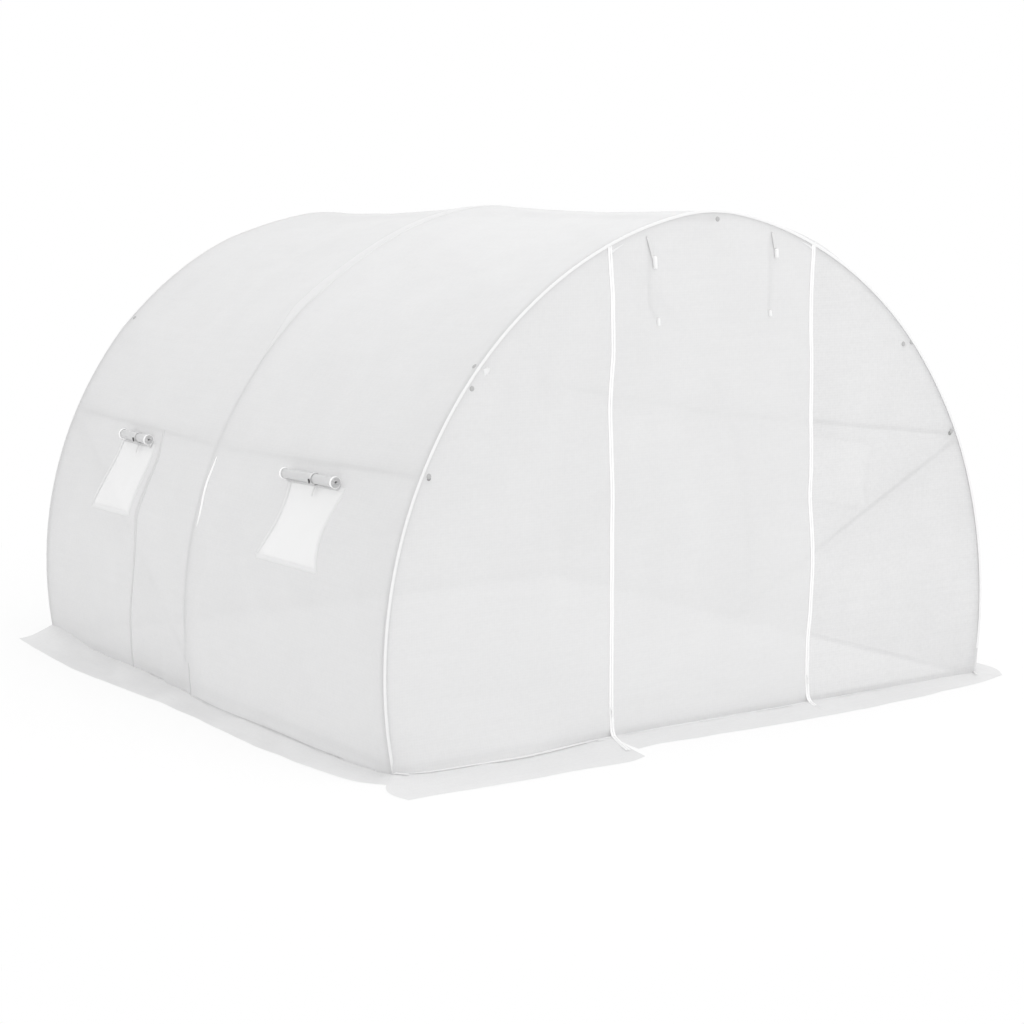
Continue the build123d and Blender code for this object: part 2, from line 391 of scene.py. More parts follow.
def plasticFinish(name, shade, rough):
    kit = Finish(name)
    place = kit.add("TexCoord", None, None, 3)
    cloud = kit.noise(place, 30.0, 3.0, "3D")
    colour = kit.mixed(cloud, grey(shade * 0.88), grey(shade))
    bump = kit.bump(0.2, 0.0004, kit.noise(place, 260.0, 3.0, "3D"))
    return kit.close(kit.skin(colour, (cloud - 0.5) * 0.1 + rough, bump))


finishes = {
    "film": filmFinish("wovenFilm", film["through"], film["glow"], film["ground"], film["thread"]),
    "clearFilm": filmFinish("clearFilm", 0.14, 0.16, film["ground"] - 0.006, film["thread"] - 0.006),
    "lapFilm": filmFinish("lapFilm", 0.0, 0.22, 0.908, 0.924),
    # painted shade: a dark strip laid on the film where it creases
    "crease": clothFinish("crease", 0.66, 0.0030, 0.0),
    "endFilm": filmFinish("endFilm", 0.06, 0.16, film["ground"] - 0.014, film["thread"] - 0.014),
    # painted shade: a darker copy of the film for the skirts on the ground
    "skirt": filmFinish("skirtFilm", 0.05, 0.12, 0.80, 0.85),
    "hem": filmFinish("doubleFilm", 0.03, 0.15, 0.93, 0.96),
    "mesh": meshFinish(),
    "rolled": filmFinish("rolledFilm", 0.02, 0.35, 0.87, 0.92),
    "tube": tubeFinish("galvanisedTube", 0.62),
    # painted shade: a darker copy of the galvanised tube, so that purlins and braces show as dark lines through the
    # film
    "slimTube": tubeFinish("weatheredTube", 0.26),
    # painted light: the tape glows a little, so zips, the pleat and the roll hems look bright white
    "tape": clothFinish("zipTape", 0.98, 0.0012, 0.05, 0.12),
    "strap": clothFinish("tieStrap", 0.84, 0.0016, 0.10),
    # painted shade: the inside ties are dark so that they show as shade through the film
    "innerStrap": clothFinish("innerStrap", 0.40, 0.0016, 0.02),
    "binding": clothFinish("endBinding", 0.95, 0.0030, 0.05),
    "teeth": plasticFinish("zipTeeth", 0.95, 0.35),
    "cap": plasticFinish("boltCap", 0.10, 0.45),
    "bolt": plasticFinish("greyBolt", 0.62, 0.40),
    # painted shade: grey discs that stand for bolts seen dimly through the film
    "stud": plasticFinish("greyStud", 0.52, 0.45),
    "toggle": plasticFinish("whiteToggle", 0.98, 0.35),
    "thread": plasticFinish("stitchThread", 0.93, 0.60),
}
print("finishes ready")


below = Vector((0.0, 0.0, -2.0))  # every sheet faces away from here
sideways, lengthwise, upwards = (1.0, 0.0, 0.0), (0.0, 1.0, 0.0), (0.0, 0.0, 1.0)
sideNames = ["left", "right"]
settled = {
    "heights": [1.20, 1.43, 1.55, 1.65, 1.77, 1.86, 1.915, 1.965, 2.01],
    "drops": [0.0, -0.004, 0.003, 0.005, 0.007, 0.012, 0.023, 0.028, 0.031],
    "crest": 0.010,
}


def smooth(t):
    t = np.clip(t, 0, 1)
    return t * t * (3 - 2 * t)


def hump(t):
    # from 0 up to 1 and back to 0
    return np.sin(np.pi * t)


def settle(points):
    # the tunnel stands a little lower at the back of its crown, and a little higher at the middle hoop
    points = np.array(points, dtype=float)
    y, z = points[:, 1], points[:, 2]
    drop = np.interp(z, settled["heights"], settled["drops"]) * smooth(y / tunnel["halfLength"])
    points[:, 2] += settled["crest"] * np.exp(-((y / 0.55) ** 2)) * smooth((z - 1.75) / 0.2) - drop
    return points


def meshPiece(name, skin, finish, slotName):
    # a finished piece at the origin, from its points, its faces and each point's place on the flat cloth
    points, faces, cut = skin
    data = bpy.data.meshes.new(name)
    data.from_pydata(settle(points).tolist(), [], faces)
    data.update()
    spread = sum(p.normal.dot(p.center - below) * p.area for p in data.polygons)
    if spread < 0:
        data.flip_normals()
    layer = data.uv_layers.new(name="cut")
    corner = np.empty(len(data.loops), dtype=np.int32)
    data.loops.foreach_get("vertex_index", corner)
    layer.data.foreach_set("uv", np.asarray(cut, dtype=np.float32)[corner].ravel())
    data.materials.append(finishes[finish])
    data.polygons.foreach_set("use_smooth", [True] * len(data.polygons))
    return adopt(bpy.data.objects.new(name, data), slotName)


def adopt(piece, slotName):
    scene.collection.objects.link(piece)
    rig.ride(piece, "root")
    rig.slot(piece, slotName)
    return piece


def gridFaces(rows, columns, skip=None, loop=False):
    faces = []
    for i in range(rows - 1):
        for j in range(columns if loop else columns - 1):
            if skip is None or not skip(i, j):
                k = (j + 1) % columns
                faces.append((i * columns + j, i * columns + k, (i + 1) * columns + k, (i + 1) * columns + j))
    return faces


def steps(low, high, size):
    return np.linspace(low, high, max(2, int(round((high - low) / size)) + 1))


def wave(points, scale, seed):
    # smooth noise at many places at once
    return np.array([noise.noise(Vector((p[0] * scale[0], p[1] * scale[1], seed))) for p in points])


def wander(values, scale, row, seed):
    # the same noise along one line
    return np.array([noise.noise(Vector((v * scale, row, seed))) for v in values])


def runAlong(line):
    # the distance from the line's start to each of its points
    return np.concatenate([[0], np.cumsum(np.linalg.norm(np.diff(line, axis=0), axis=1))])


def unit(vectors):
    return vectors / np.linalg.norm(vectors, axis=-1, keepdims=True)


def squared(side, along):
    # the part of side that stands square to along
    return unit(side - along * np.sum(along * side, axis=1, keepdims=True))


def roundSection(halfWide, halfThick, count=12, corner=2.0):
    # a closed outline from a circle, at corner 2, towards a rectangle
    turn = np.arange(count) / count * math.tau + math.pi / count
    halves = [(halfWide, np.cos(turn)), (halfThick, np.sin(turn))]
    return np.stack([half * np.sign(c) * np.abs(c) ** (2 / corner) for half, c in halves], 1)


def sectionsOf(wide, thick, count=12, corner=2.0):
    return np.stack([roundSection(w, t, count, corner) for w, t in np.broadcast(wide, thick)])


def swept(path, side, sections, along=None):
    # a closed skin round a path; each section is given across the path: along side, then upwards
    path = np.asarray(path, dtype=float)
    along = unit(np.gradient(path, axis=0)) if along is None else along
    side = squared(np.broadcast_to(side, path.shape), along)
    up = np.cross(along, side)
    sections = np.broadcast_to(sections, (len(path), *np.shape(sections)[-2:]))
    count = sections.shape[1]
    points = path[:, None] + sections[..., :1] * side[:, None] + sections[..., 1:] * up[:, None]
    faces = gridFaces(len(path), count, loop=True)
    faces += [tuple(range(count))[::-1], tuple(range((len(path) - 1) * count, len(path) * count))]
    across = np.linalg.norm(sections - sections[:, :1], axis=2)
    cut = np.stack([np.repeat(runAlong(path), count), across.ravel()], 1)
    return points.reshape(-1, 3), faces, cut


def joined(parts):
    # several skins as one
    points, faces, cuts, first = [], [], [], 0
    for p, f, c in parts:
        points.append(p)
        cuts.append(c)
        faces += [tuple(i + first for i in face) for face in f]
        first += len(p)
    return np.concatenate(points), faces, np.concatenate(cuts)


# geometry nodes: one small item on every point, or at a pitch along every line
def repeater(name, followsLine):
    group = bpy.data.node_groups.new(name, "GeometryNodeTree")
    inputs = {"Places": "Geometry", "Item": "Object", "Pitch": "Float", "Finish": "Material"}
    for label, kind in inputs.items():
        group.interface.new_socket(label, in_out="INPUT", socket_type="NodeSocket" + kind)
    group.interface.new_socket("Pieces", in_out="OUTPUT", socket_type="NodeSocketGeometry")

    def node(kind, inputs, **settings):
        made = group.nodes.new(kind)
        for key, value in settings.items():
            setattr(made, key, value)
        for key, socket in inputs.items():
            group.links.new(socket, made.inputs[key])
        return made.outputs

    given = node("NodeGroupInput", {})
    places = given["Places"]
    facing = group.nodes.new("GeometryNodeInputNamedAttribute")
    facing.data_type = "FLOAT_VECTOR"
    facing.inputs["Name"].default_value = "facing"
    heading = node("FunctionNodeAlignRotationToVector", {"Vector": facing.outputs["Attribute"]}, axis="Z")[0]
    if followsLine:
        curve = node("GeometryNodeMeshToCurve", {"Mesh": places})[0]
        sockets = {"Curve": curve, "Length": given["Pitch"]}
        places = node("GeometryNodeResampleCurve", sockets, mode="LENGTH")[0]
        tangent = node("GeometryNodeInputTangent", {})[0]
        turned = {"Rotation": heading, "Vector": tangent}
        heading = node("FunctionNodeAlignRotationToVector", turned, axis="X", pivot_axis="Z")[0]
    item = node("GeometryNodeObjectInfo", {"Object": given["Item"]})["Geometry"]
    put = node("GeometryNodeInstanceOnPoints", {"Points": places, "Instance": item, "Rotation": heading})[0]
    real = node("GeometryNodeRealizeInstances", {"Geometry": put})[0]
    paint = node("GeometryNodeSetMaterial", {"Geometry": real, "Material": given["Finish"]})[0]
    node("NodeGroupOutput", {"Pieces": paint})
    return group


repeaters = {"line": repeater("itemsAlongLine", True), "point": repeater("itemsOnPoints", False)}


def repeated(name, lines, item, finish, slotName, pitch=None):
    # lines holds (points, facing) pairs; without a pitch the item stands on every point
    points = np.concatenate([p for p, f in lines])
    facing = np.concatenate([np.broadcast_to(f, np.shape(p)) for p, f in lines])
    edges, first = [], 0
    for p, f in lines:
        edges += [(first + i, first + i + 1) for i in range(len(p) - 1)] if pitch else []
        first += len(p)
    data = bpy.data.meshes.new(name + "Places")
    data.from_pydata(settle(points).tolist(), edges, [])
    layer = data.attributes.new("facing", "FLOAT_VECTOR", "POINT")
    layer.data.foreach_set("vector", np.asarray(facing, dtype=np.float32).ravel())
    places = bpy.data.objects.new(name + "Places", data)
    scene.collection.objects.link(places)
    group = repeaters["line" if pitch else "point"]
    modifier = places.modifiers.new("items", "NODES")
    modifier.node_group = group
    sockets = {s.name: s.identifier for s in group.interface.items_tree if s.in_out == "INPUT"}
    modifier[sockets["Item"]] = item
    modifier[sockets["Pitch"]] = pitch or 1.0
    modifier[sockets["Finish"]] = finishes[finish]
    bpy.context.view_layer.update()
    solid = bpy.data.meshes.new_from_object(places.evaluated_get(bpy.context.evaluated_depsgraph_get()))
    places.modifiers.remove(modifier)
    bpy.data.objects.remove(places)
    solid.name = name
    return adopt(bpy.data.objects.new(name, solid), slotName)


def itemMesh(name, points, faces):
    # a small shape that only the repeaters use
    data = bpy.data.meshes.new(name)
    data.from_pydata(np.asarray(points, dtype=float).tolist(), [], faces)
    data.update()
    data.polygons.foreach_set("use_smooth", [True] * len(data.polygons))
    return bpy.data.objects.new(name, data)


def turned(name, profile, sides=14):
    # a shape turned round Z, from (radius, height) pairs
    profile = np.asarray(profile, dtype=float)
    angle = np.arange(sides) / sides * math.tau
    ring = np.stack([np.cos(angle), np.sin(angle)], 1)
    points = [(r * c, r * s, z) for r, z in profile for c, s in ring]
    faces = gridFaces(len(profile), sides, loop=True)
    faces.append(tuple(range((len(profile) - 1) * sides, len(profile) * sides)))
    return itemMesh(name, points, faces)


# the frame: galvanised tubes, with the arch tubes slipped over the necked tops of the legs
tubing = {"wall": 0.0011, "neck": 0.0111, "neckLength": 0.040, "sides": 20, "brace": 0.016, "step": 0.025}
bends = {"back": 0.030, "leftFoot": 0.055, "rightFoot": -0.030, "droop": 0.042}  # at the middle hoop
hoopPlaces = {
    "front": -tunnel["halfLength"] + tunnel["tube"] / 2,
    "middle": 0.0,
    "back": tunnel["halfLength"] - tunnel["tube"] / 2,
}


def hoopLine(hoop, s):
    # where a hoop stands along the tunnel; the middle one is a little back and its left leg leans
    if hoop != "middle":
        return np.full_like(np.asarray(s, dtype=float), hoopPlaces[hoop])
    lean = np.clip(1 - arch.place(s)[1] / tunnel["jointHeight"], 0, 1)
    return bends["back"] + np.where(np.asarray(s) < arch.half, bends["leftFoot"], bends["rightFoot"]) * lean


def mirrored(s):
    # the same height on the other side of the arch
    return 2 * arch.half - s


def archTube(s, radii, mirror, hoop, node):
    x, z = arch.place(s, tunnel["tube"] / 2)
    ahead = arch.place(s + 0.001, tunnel["tube"] / 2)
    along = np.stack([ahead[0] - x, np.zeros_like(x), ahead[1] - z], 1)
    path = np.stack([x, hoopLine(hoop, mirrored(s) if mirror else s), z], 1)
    if mirror:
        path[:, 0] *= -1
        along[:, 0] *= -1
    skin = swept(path, lengthwise, sectionsOf(radii, radii, tubing["sides"]), unit(along))
    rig.replaces(meshPiece(f"tube_{node}", skin, "tube", "tubes"), node)


def hoopTubes():
    radius = tunnel["tube"] / 2
    foot, joint = arch.along(0.004, radius), arch.along(tunnel["jointHeight"], radius)
    inner = radius - tubing["wall"]
    body = steps(foot + 0.02, joint - 0.012, tubing["step"])
    neck = [joint - 0.009, joint - 0.005, joint + tubing["neckLength"]]
    leg = np.concatenate([[foot, foot + 0.001], body, neck])
    legRadii = [inner, radius, *[radius] * len(body), radius - 0.0002, tubing["neck"], tubing["neck"]]
    body = steps(joint + 0.02, arch.half - 0.006, tubing["step"])
    lip = [joint + 0.010, joint, joint + 0.0002, joint + 0.0010]
    bow = np.concatenate([lip, body, [arch.half - 0.0025, arch.half - 0.0015]])
    lipRadii = [inner, inner, radius - 0.0003, radius]
    bowRadii = lipRadii + [radius] * len(body) + [radius - 0.0004, radius - 0.0011]
    for hoop in hoopPlaces:
        for side in sideNames:
            for part, s, radii in [("leg", leg, legRadii), ("arch", bow, bowRadii)]:
                archTube(s, radii, side == "right", hoop, f"{hoop}_{part}_{side}")


def purlinDroop(y):
    # the purlins hang a little lower at the middle hoop
    return bends["droop"] * (1 - np.minimum(np.abs(y) / tunnel["halfLength"], 1))


def straightTube(node, radius):
    low, high = (np.array(v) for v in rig.box(node))
    # purlins and braces take the darker copy: painted shade, seen through the film
    finish = "tube" if node.startswith("base") else "slimTube"
    axis = int(np.argmax(high - low))
    length = high[axis] - low[axis]
    run = np.array([0, 0.0002, 0.0012, length - 0.0012, length - 0.0002, length])
    path = np.tile((low + high) / 2, (len(run), 1))
    path[:, axis] = low[axis] + run
    if node.startswith("purlin"):
        path[:, 2] -= purlinDroop(path[:, 1])
    lip = [radius - tubing["wall"], radius - 0.0004, radius]
    skin = swept(path, upwards, sectionsOf(lip + lip[::-1], lip + lip[::-1], tubing["sides"]))
    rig.replaces(meshPiece(f"tube_{node}", skin, finish, "tubes"), node)


# the braces: straight tubes with both ends pressed flat and bolted to the hoops' inner side
brace = {
    "inset": 0.0281,
    "foot": 0.050,
    "head": tunnel["purlinHeight"] - 0.040,
    "flat": 0.042,
    "taper": 0.038,
    "wide": 0.024,
    "thick": 0.003,
    "tip": 0.012,
}


def archNormal(s):
    near, far = arch.place(s, 0.0), arch.place(s, -0.1)
    return unit(np.array([far[0] - near[0], 0.0, far[1] - near[1]], dtype=float))


def braceTube(side):
    turn = -1 if side == "left" else 1
    ends = []
    for height, hoop in [(brace["foot"], "middle"), (brace["head"], "front" if side == "right" else "back")]:
        s = arch.along(height, brace["inset"])
        x, z = arch.place(s, brace["inset"])
        ends.append(np.array([-x * turn, float(hoopLine(hoop, s if side == "left" else mirrored(s))), z]))
    axis = ends[1] - ends[0]
    length = np.linalg.norm(axis)
    axis = axis / length
    reach = brace["flat"] + brace["taper"]
    half = np.array([-1, -0.96, -0.8, -0.5, 0]) * brace["tip"]
    near = np.concatenate([half, steps(0.006, brace["flat"], 0.012), steps(brace["flat"], reach, 0.006)[1:]])
    run = np.concatenate([near, steps(reach, length - reach, 0.05)[1:-1], (length - near)[::-1]])
    outer = archNormal(arch.along(brace["foot"]))
    outer[0] *= -turn
    sections = []
    for place in run:
        inwards = min(place, length - place)
        soft = smooth((inwards - brace["flat"]) / brace["taper"])
        wide = brace["wide"] * math.sqrt(max(1 - min(inwards / brace["tip"], 0) ** 2, 0.01))
        halfWide = (wide * (1 - soft) + tubing["brace"] * soft) / 2
        halfThick = (brace["thick"] * (1 - soft) + tubing["brace"] * soft) / 2
        sections.append(roundSection(halfWide, halfThick, 20, 4 - 2 * soft))
    path = ends[0] + run[:, None] * axis
    skin = swept(path, np.cross(axis, outer), np.stack(sections), np.tile(axis, (len(run), 1)))
    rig.replaces(meshPiece(f"tube_brace_{side}", skin, "slimTube", "tubes"), f"brace_{side}")
    return ends


hoopTubes()
for line in ["purlin_left", "purlin_right", "ridge"]:
    for place in ["front", "back"]:
        straightTube(f"{line}_{place}", tunnel["purlin"] / 2)
for place in ["left", "right", "front", "back"]:
    straightTube(f"base_rail_{place}", tunnel["tube"] / 2)
braceBolts = [(bolt, side) for side in sideNames for bolt in braceTube(side)]

# bolts: a low head outside each hoop and a capped nut inside
headProfile = [(0, 0.0), (0.0055, 0.0), (0.0052, 0.0012), (0.0036, 0.0020), (0.0012, 0.0024)]
headItem = turned("headItem", headProfile)
capProfile = [
    (0.0082, 0), (0.0082, 0.0012), (0.0066, 0.0014), (0.0064, 0.0080), (0.0052, 0.0118), (0.0028, 0.0140)
]
capItem = turned("capItem", capProfile + [(0.0006, 0.0145)])
longCap = [(0.0030, 0), (0.0030, 0.0220)] + [(r, z + 0.0220) for r, z in capProfile] + [(0.0006, 0.0365)]
longCapItem = turned("longCapItem", longCap)
boltInset = {"head": 0.0050, "onPurlin": 0.0445, "onTube": tunnel["tube"], "onBrace": 0.0016}


def boltPlaces():
    heads, caps, longCaps = [], [], []
    joint = arch.along(tunnel["jointHeight"]) + 0.02
    lines = [(arch.along(tunnel["purlinHeight"]), True), (joint, False)]
    for hoop in hoopPlaces:
        for s, onPurlin in lines + [(mirrored(s), p) for s, p in lines] + [(arch.half, True)]:
            out, y = archNormal(s), float(hoopLine(hoop, s))
            x, z = arch.place(s, boltInset["head"])
            heads.append(((x, y, z), out))
            x, z = arch.place(s, boltInset["onPurlin" if onPurlin else "onTube"])
            (caps if onPurlin else longCaps).append(((x, y, z), -out))
    for bolt, side in braceBolts:
        out = archNormal(arch.along(bolt[2]))
        out[0] *= -1 if side == "right" else 1
        caps.append((tuple(bolt - out * boltInset["onBrace"]), -out))
    return heads, caps, longCaps


boltItems = {"bolt_heads": headItem, "bolt_caps": capItem, "joint_caps": longCapItem}
for (name, item), places in zip(boltItems.items(), boltPlaces()):
    repeated(name, [[np.array(v) for v in zip(*places)]], item, "bolt", "tubes")
print("frame made")


# how the film hangs between the hoops, rests on the purlins and creases at the ground
drape = {
    "seat": 0.0012,
    "ground": 0.0045,
    "purlinDip": 0.026,
    "ridgeDip": 0.014,
    "roofSag": 0.014,
    "wallSag": 0.026,
    "footDip": 0.008,
    "bayPower": 2.3,
    "wrinkle": 0.0022,
    "footRipple": 0.0050,
    "step": 0.0150,
}

# the windows: the flat cut is a plain rectangle, which the slack film pulls askew
window = {
    "places": [-0.776, 0.794],
    "width": 0.400,
    "sill": 0.656,
    "height": 0.306,
    "lean": [0.113, 0.115],
    "waist": [0.034, 0.012],
    "flare": [0.022, -0.012],
    "narrow": [0.0, 0.046],
    "shift": [0.0, 0.015],
    "raise": [0.0, 0.018],
    "ahead": 0.34,
    "behind": 0.16,
    "hem": 0.016,
}
end = tunnel["halfLength"] + 0.0033  # the cover reaches just past the end walls
purlinLine = arch.along(tunnel["purlinHeight"], tunnel["tube"] + tunnel["purlin"] / 2)
sillLine, headLine = arch.along(window["sill"]), arch.along(window["sill"] + window["height"])


def nearestFoot(s):
    return np.minimum(s, mirrored(s))


# low on the wall, and again at the purlin, the seam wanders back
seam = {"foot": 0.12, "from": 0.95, "over": 0.75, "atPurlin": 0.050, "purlinReach": 0.10, "reach": 0.35}


def seamPull(s, y):
    low = smooth((seam["from"] - arch.place(nearestFoot(s))[1]) / seam["over"])
    top = seam["atPurlin"] * np.exp(-(((nearestFoot(s) - purlinLine) / seam["purlinReach"]) ** 2))
    return (seam["foot"] * low + top) * np.exp(-(((y - tunnel["seam"]) / seam["reach"]) ** 2))


def windowPull(s, y):
    # how far the film is pulled near each window: along y, and up from the foot
    t = np.clip((headLine - nearestFoot(s)) / (headLine - sillLine), -0.6, 1.6)
    above = np.clip((nearestFoot(s) - headLine) / window["ahead"], 0, 1)
    below = np.clip((sillLine - nearestFoot(s)) / window["ahead"], 0, 1)
    fade = (1 - above) ** 2 * (1 - below) ** 2
    t = np.clip(t, 0, 1)
    shear = 0.25 - 0.25 * np.cos(np.pi * t) + 0.5 * t
    pull, rise = seamPull(s, y), np.zeros_like(y)
    for k, place in enumerate(window["places"]):
        across = (y - place) / (window["width"] / 2)
        reach = np.where(across > 0, window["ahead"], window["behind"])
        side = np.clip((np.abs(across) - 1) * window["width"] / 2 / reach, 0, 1)
        across = np.clip(across, -1, 1)
        fall = (1 - side) ** 2 * (1 + 2 * side) * fade
        spread = window["flare"][k] * t**3 - window["waist"][k] * hump(t)
        spread -= window["narrow"][k] * (1 - t)
        pull += (window["lean"][k] * shear + window["shift"][k] + spread * across) * fall
        rise += window["raise"][k] * fall
    return pull, rise


def bay(s, y):
    # 0 at each hoop and 1 between two hoops
    hoop = hoopLine("middle", s)
    reach = np.where(y < hoop, hoopPlaces["front"], hoopPlaces["back"])
    v = np.clip(np.abs(y - (hoop + reach) / 2) / (np.abs(reach - hoop) / 2), 0, 1)
    return 1 - v ** drape["bayPower"]


def coverInset(s, y):
    near = nearestFoot(s)
    low = near < purlinLine
    t = np.where(low, near / purlinLine, (near - purlinLine) / (arch.half - purlinLine))
    foot, purlin = drape["footDip"], drape["purlinDip"]
    wall = foot + (purlin - foot) * t + drape["wallSag"] * hump(t) ** 0.9
    roof = purlin * (1 - t) + drape["ridgeDip"] * t + drape["roofSag"] * hump(t)
    return np.where(low, wall, roof) * bay(s, y)


def coverWrinkles(s, y):
    near = nearestFoot(s)
    flat = np.stack([s, y], axis=1)
    free = np.clip(bay(s, y) * 3, 0, 1)
    folds = wave(flat, (1.2, 5.0), 3.1) * 0.7 + wave(flat, (3.0, 9.0), 8.7) * 0.3
    slant = wave(np.stack([s * 0.8 + y * 0.6, y * 0.8 - s * 0.6], axis=1), (2.0, 7.5), 5.5)
    foot = np.clip(1 - near / 0.34, 0, 1) ** 1.5
    ripple = wave(flat, (1.5, 11.0), 1.7) * foot
    crest = np.exp(-(((near - purlinLine) / 0.06) ** 2)) * wave(flat, (4.0, 14.0), 6.2)
    return free * (drape["wrinkle"] * (folds * 1.3 + slant + 0.8 * crest) + drape["footRipple"] * ripple)


# how far the film stands out at the ground: along the sides by y, and across the front by x
kicks = {
    "side": {
        "height": 0.28,
        "out": [(-1.50, 0.0), (-1.43, 0.024), (-1.25, 0.049), (-0.70, 0.056), (-0.10, 0.053),
                (0.09, 0.028), (0.50, 0.0)],
    },
    "front": {
        "height": 0.25,
        "out": [(-1.46, 0.004), (-1.38, 0.040), (-1.20, 0.050), (-0.90, 0.056), (-0.76, 0.036),
                (-0.52, 0.010), (1.5, 0.010)],
    },
}


def kick(wall, place, z):
    form = kicks[wall]
    return np.interp(place, *zip(*form["out"])) * np.clip(1 - z / form["height"], 0, 1) ** 2


def coverPoints(s, y, lift=0.0):
    # where the film's points hang, for places on the flat cut
    s, y = np.asarray(s, dtype=float), np.asarray(y, dtype=float)
    pull, rise = windowPull(s, y)
    pulled = y + pull
    s = np.where(s < arch.half, s + rise, s - rise)
    inset = coverInset(s, pulled) + coverWrinkles(s, pulled)
    near = nearestFoot(s) - purlinLine
    off = np.abs(near)
    # the film lies on the purlins
    overPurlin = np.where(off < 0.011, 0.0232 + off**2 / tunnel["purlin"], 1.0)
    fall = purlinDroop(pulled) * np.exp(-((near / np.where(near < 0, 0.09, 0.30)) ** 2))
    depth = np.clip(inset, 0, overPurlin) - drape["seat"] - lift
    x, z = arch.place(np.where(s < arch.half, s - fall, s + fall), depth)
    x = x + np.sign(x) * kick("side", pulled, z)
    return np.stack([x, pulled, np.maximum(z, drape["ground"])], axis=1)


def gridOf(rows, columns):
    s, y = np.meshgrid(rows, columns, indexing="ij")
    return s.ravel(), y.ravel()


def marked(marks):
    # even steps between marks that have to be kept
    marks = sorted(marks)
    pieces = [steps(a, b, drape["step"])[:-1] for a, b in zip(marks, marks[1:])]
    return np.concatenate([*pieces, [marks[-1]]])


def coverSheet(name, low, high, place, replaced):
    lines = [0.0, sillLine, headLine, purlinLine]
    rows = marked(lines + [arch.half] + [mirrored(m) for m in lines])
    half = window["width"] / 2
    hoop = -end + tunnel["tube"] / 2 if low < 0 else end - tunnel["tube"] / 2
    columns = marked([low, place - half, place + half, high, hoop] + ([0.0] if low < 0 else []))

    def inWindow(i, j):
        s0 = nearestFoot((rows[i] + rows[i + 1]) / 2)
        return abs((columns[j] + columns[j + 1]) / 2 - place) < half and sillLine < s0 < headLine

    s, y = gridOf(rows, columns)
    faces = gridFaces(len(rows), len(columns), inWindow)
    piece = meshPiece(name, (coverPoints(s, y), faces, np.stack([y, s], axis=1)), "film", "film")
    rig.replaces(piece, *replaced)
    print(name, len(faces), "faces")
    return piece


def patchOnCover(s, y, lift):
    # a strip of cloth on the cover, given as a grid of places
    s, y, lift = np.broadcast_arrays(s, y, lift)
    points = coverPoints(s.ravel(), y.ravel(), lift.ravel())
    return points, gridFaces(*s.shape), np.stack([y.ravel(), s.ravel()], 1)


stitching = {"pitch": 0.0048, "step": 0.012, "hemLift": 0.0021, "seamLift": 0.0018}


def stitchPath(s, y, lift):
    s, y = np.broadcast_arrays(np.asarray(s, dtype=float), np.asarray(y, dtype=float))
    points = coverPoints(s, y, lift)
    return points, unit(coverPoints(s, y, lift + 0.01) - points)


def windowHem(side, place):
    # a folded edge round a window, as four strips that meet at the corners
    half = window["width"] / 2
    low, high = (sillLine, headLine) if side == "left" else (mirrored(headLine), mirrored(sillLine))
    corners = [(low, -half), (high, -half), (high, half), (low, half)]
    out = [(-1, -1), (1, -1), (1, 1), (-1, 1)]
    d = np.array([-0.002, 0.002, window["hem"] - 0.002, window["hem"]])
    parts = []
    for k in range(4):
        (s0, y0), (s1, y1) = corners[k], corners[(k + 1) % 4]
        (a0, b0), (a1, b1) = out[k], out[(k + 1) % 4]
        t = steps(0, 1, stitching["step"] / max(abs(s1 - s0), abs(y1 - y0)))[:, None]
        s = (s0 + a0 * d) * (1 - t) + (s1 + a1 * d) * t
        y = place + (y0 + b0 * d) * (1 - t) + (y1 + b1 * d) * t
        parts.append(patchOnCover(s, y, [0.0006, 0.0018, 0.0018, 0.0005]))
    return joined(parts)


def hemStitches(place):
    # one line of stitches along each side of both windows
    inner = window["hem"] * 0.75
    half, foot, head = window["width"] / 2 + inner, sillLine - inner, headLine + inner
    loop = [(foot, -half), (head, -half), (head, half), (foot, half)]
    lines = []
    for mirror in [False, True]:
        for (s0, y0), (s1, y1) in zip(loop, loop[1:] + loop[:1]):
            t = steps(0, 1, stitching["step"] / max(abs(s1 - s0), abs(y1 - y0)))
            s, y = s0 + (s1 - s0) * t, place + y0 + (y1 - y0) * t
            lines.append(stitchPath(mirrored(s) if mirror else s, y, stitching["hemLift"]))
    return lines


def seamStrip(s, y):
    across = np.array([-0.0075, -0.0065, 0.0, 0.0065, 0.0070])
    return patchOnCover(s[:, None], y + across, [-0.0010, 0.0016, 0.0022, 0.0012, 0.0002])


# a narrow fold in the left wall just in front of the middle hoop; its brightness is a painted highlight, from the
# glowing tape finish
fold = {"from": 0.70, "to": 1.01, "step": 0.012, "before": 0.020, "wide": 0.0050, "high": 0.0050}


def pleat():
    s = steps(arch.along(fold["from"]), arch.along(fold["to"]), fold["step"])[:, None]
    t = np.linspace(0, 1, len(s))[:, None]
    swell = hump(t) ** 0.5
    wide = fold["wide"] * swell + 0.0006
    middle = hoopLine("middle", s) - fold["before"] - 0.004 * np.sin(9 * t)
    y = middle + wide * np.array([-1.0, -0.6, 0.0, 0.6, 1.0])
    y -= windowPull(s, y)[0] + 0.006
    return patchOnCover(s, y, 0.0006 + fold["high"] * swell * np.array([0, 0.7, 1, 0.7, 0]))


# painted shade: a dark strip where the middle leg meets the ground (height, y), and a lap along the middle hoop on the
# roof
crease = {"line": [(0.135, 0.052), (0.070, 0.040), (0.006, 0.018)], "wide": 0.0042}
lap = {"from": 1.36, "step": 0.010, "near": 0.006, "over": 0.020, "wide": 0.105, "lift": 0.0014}


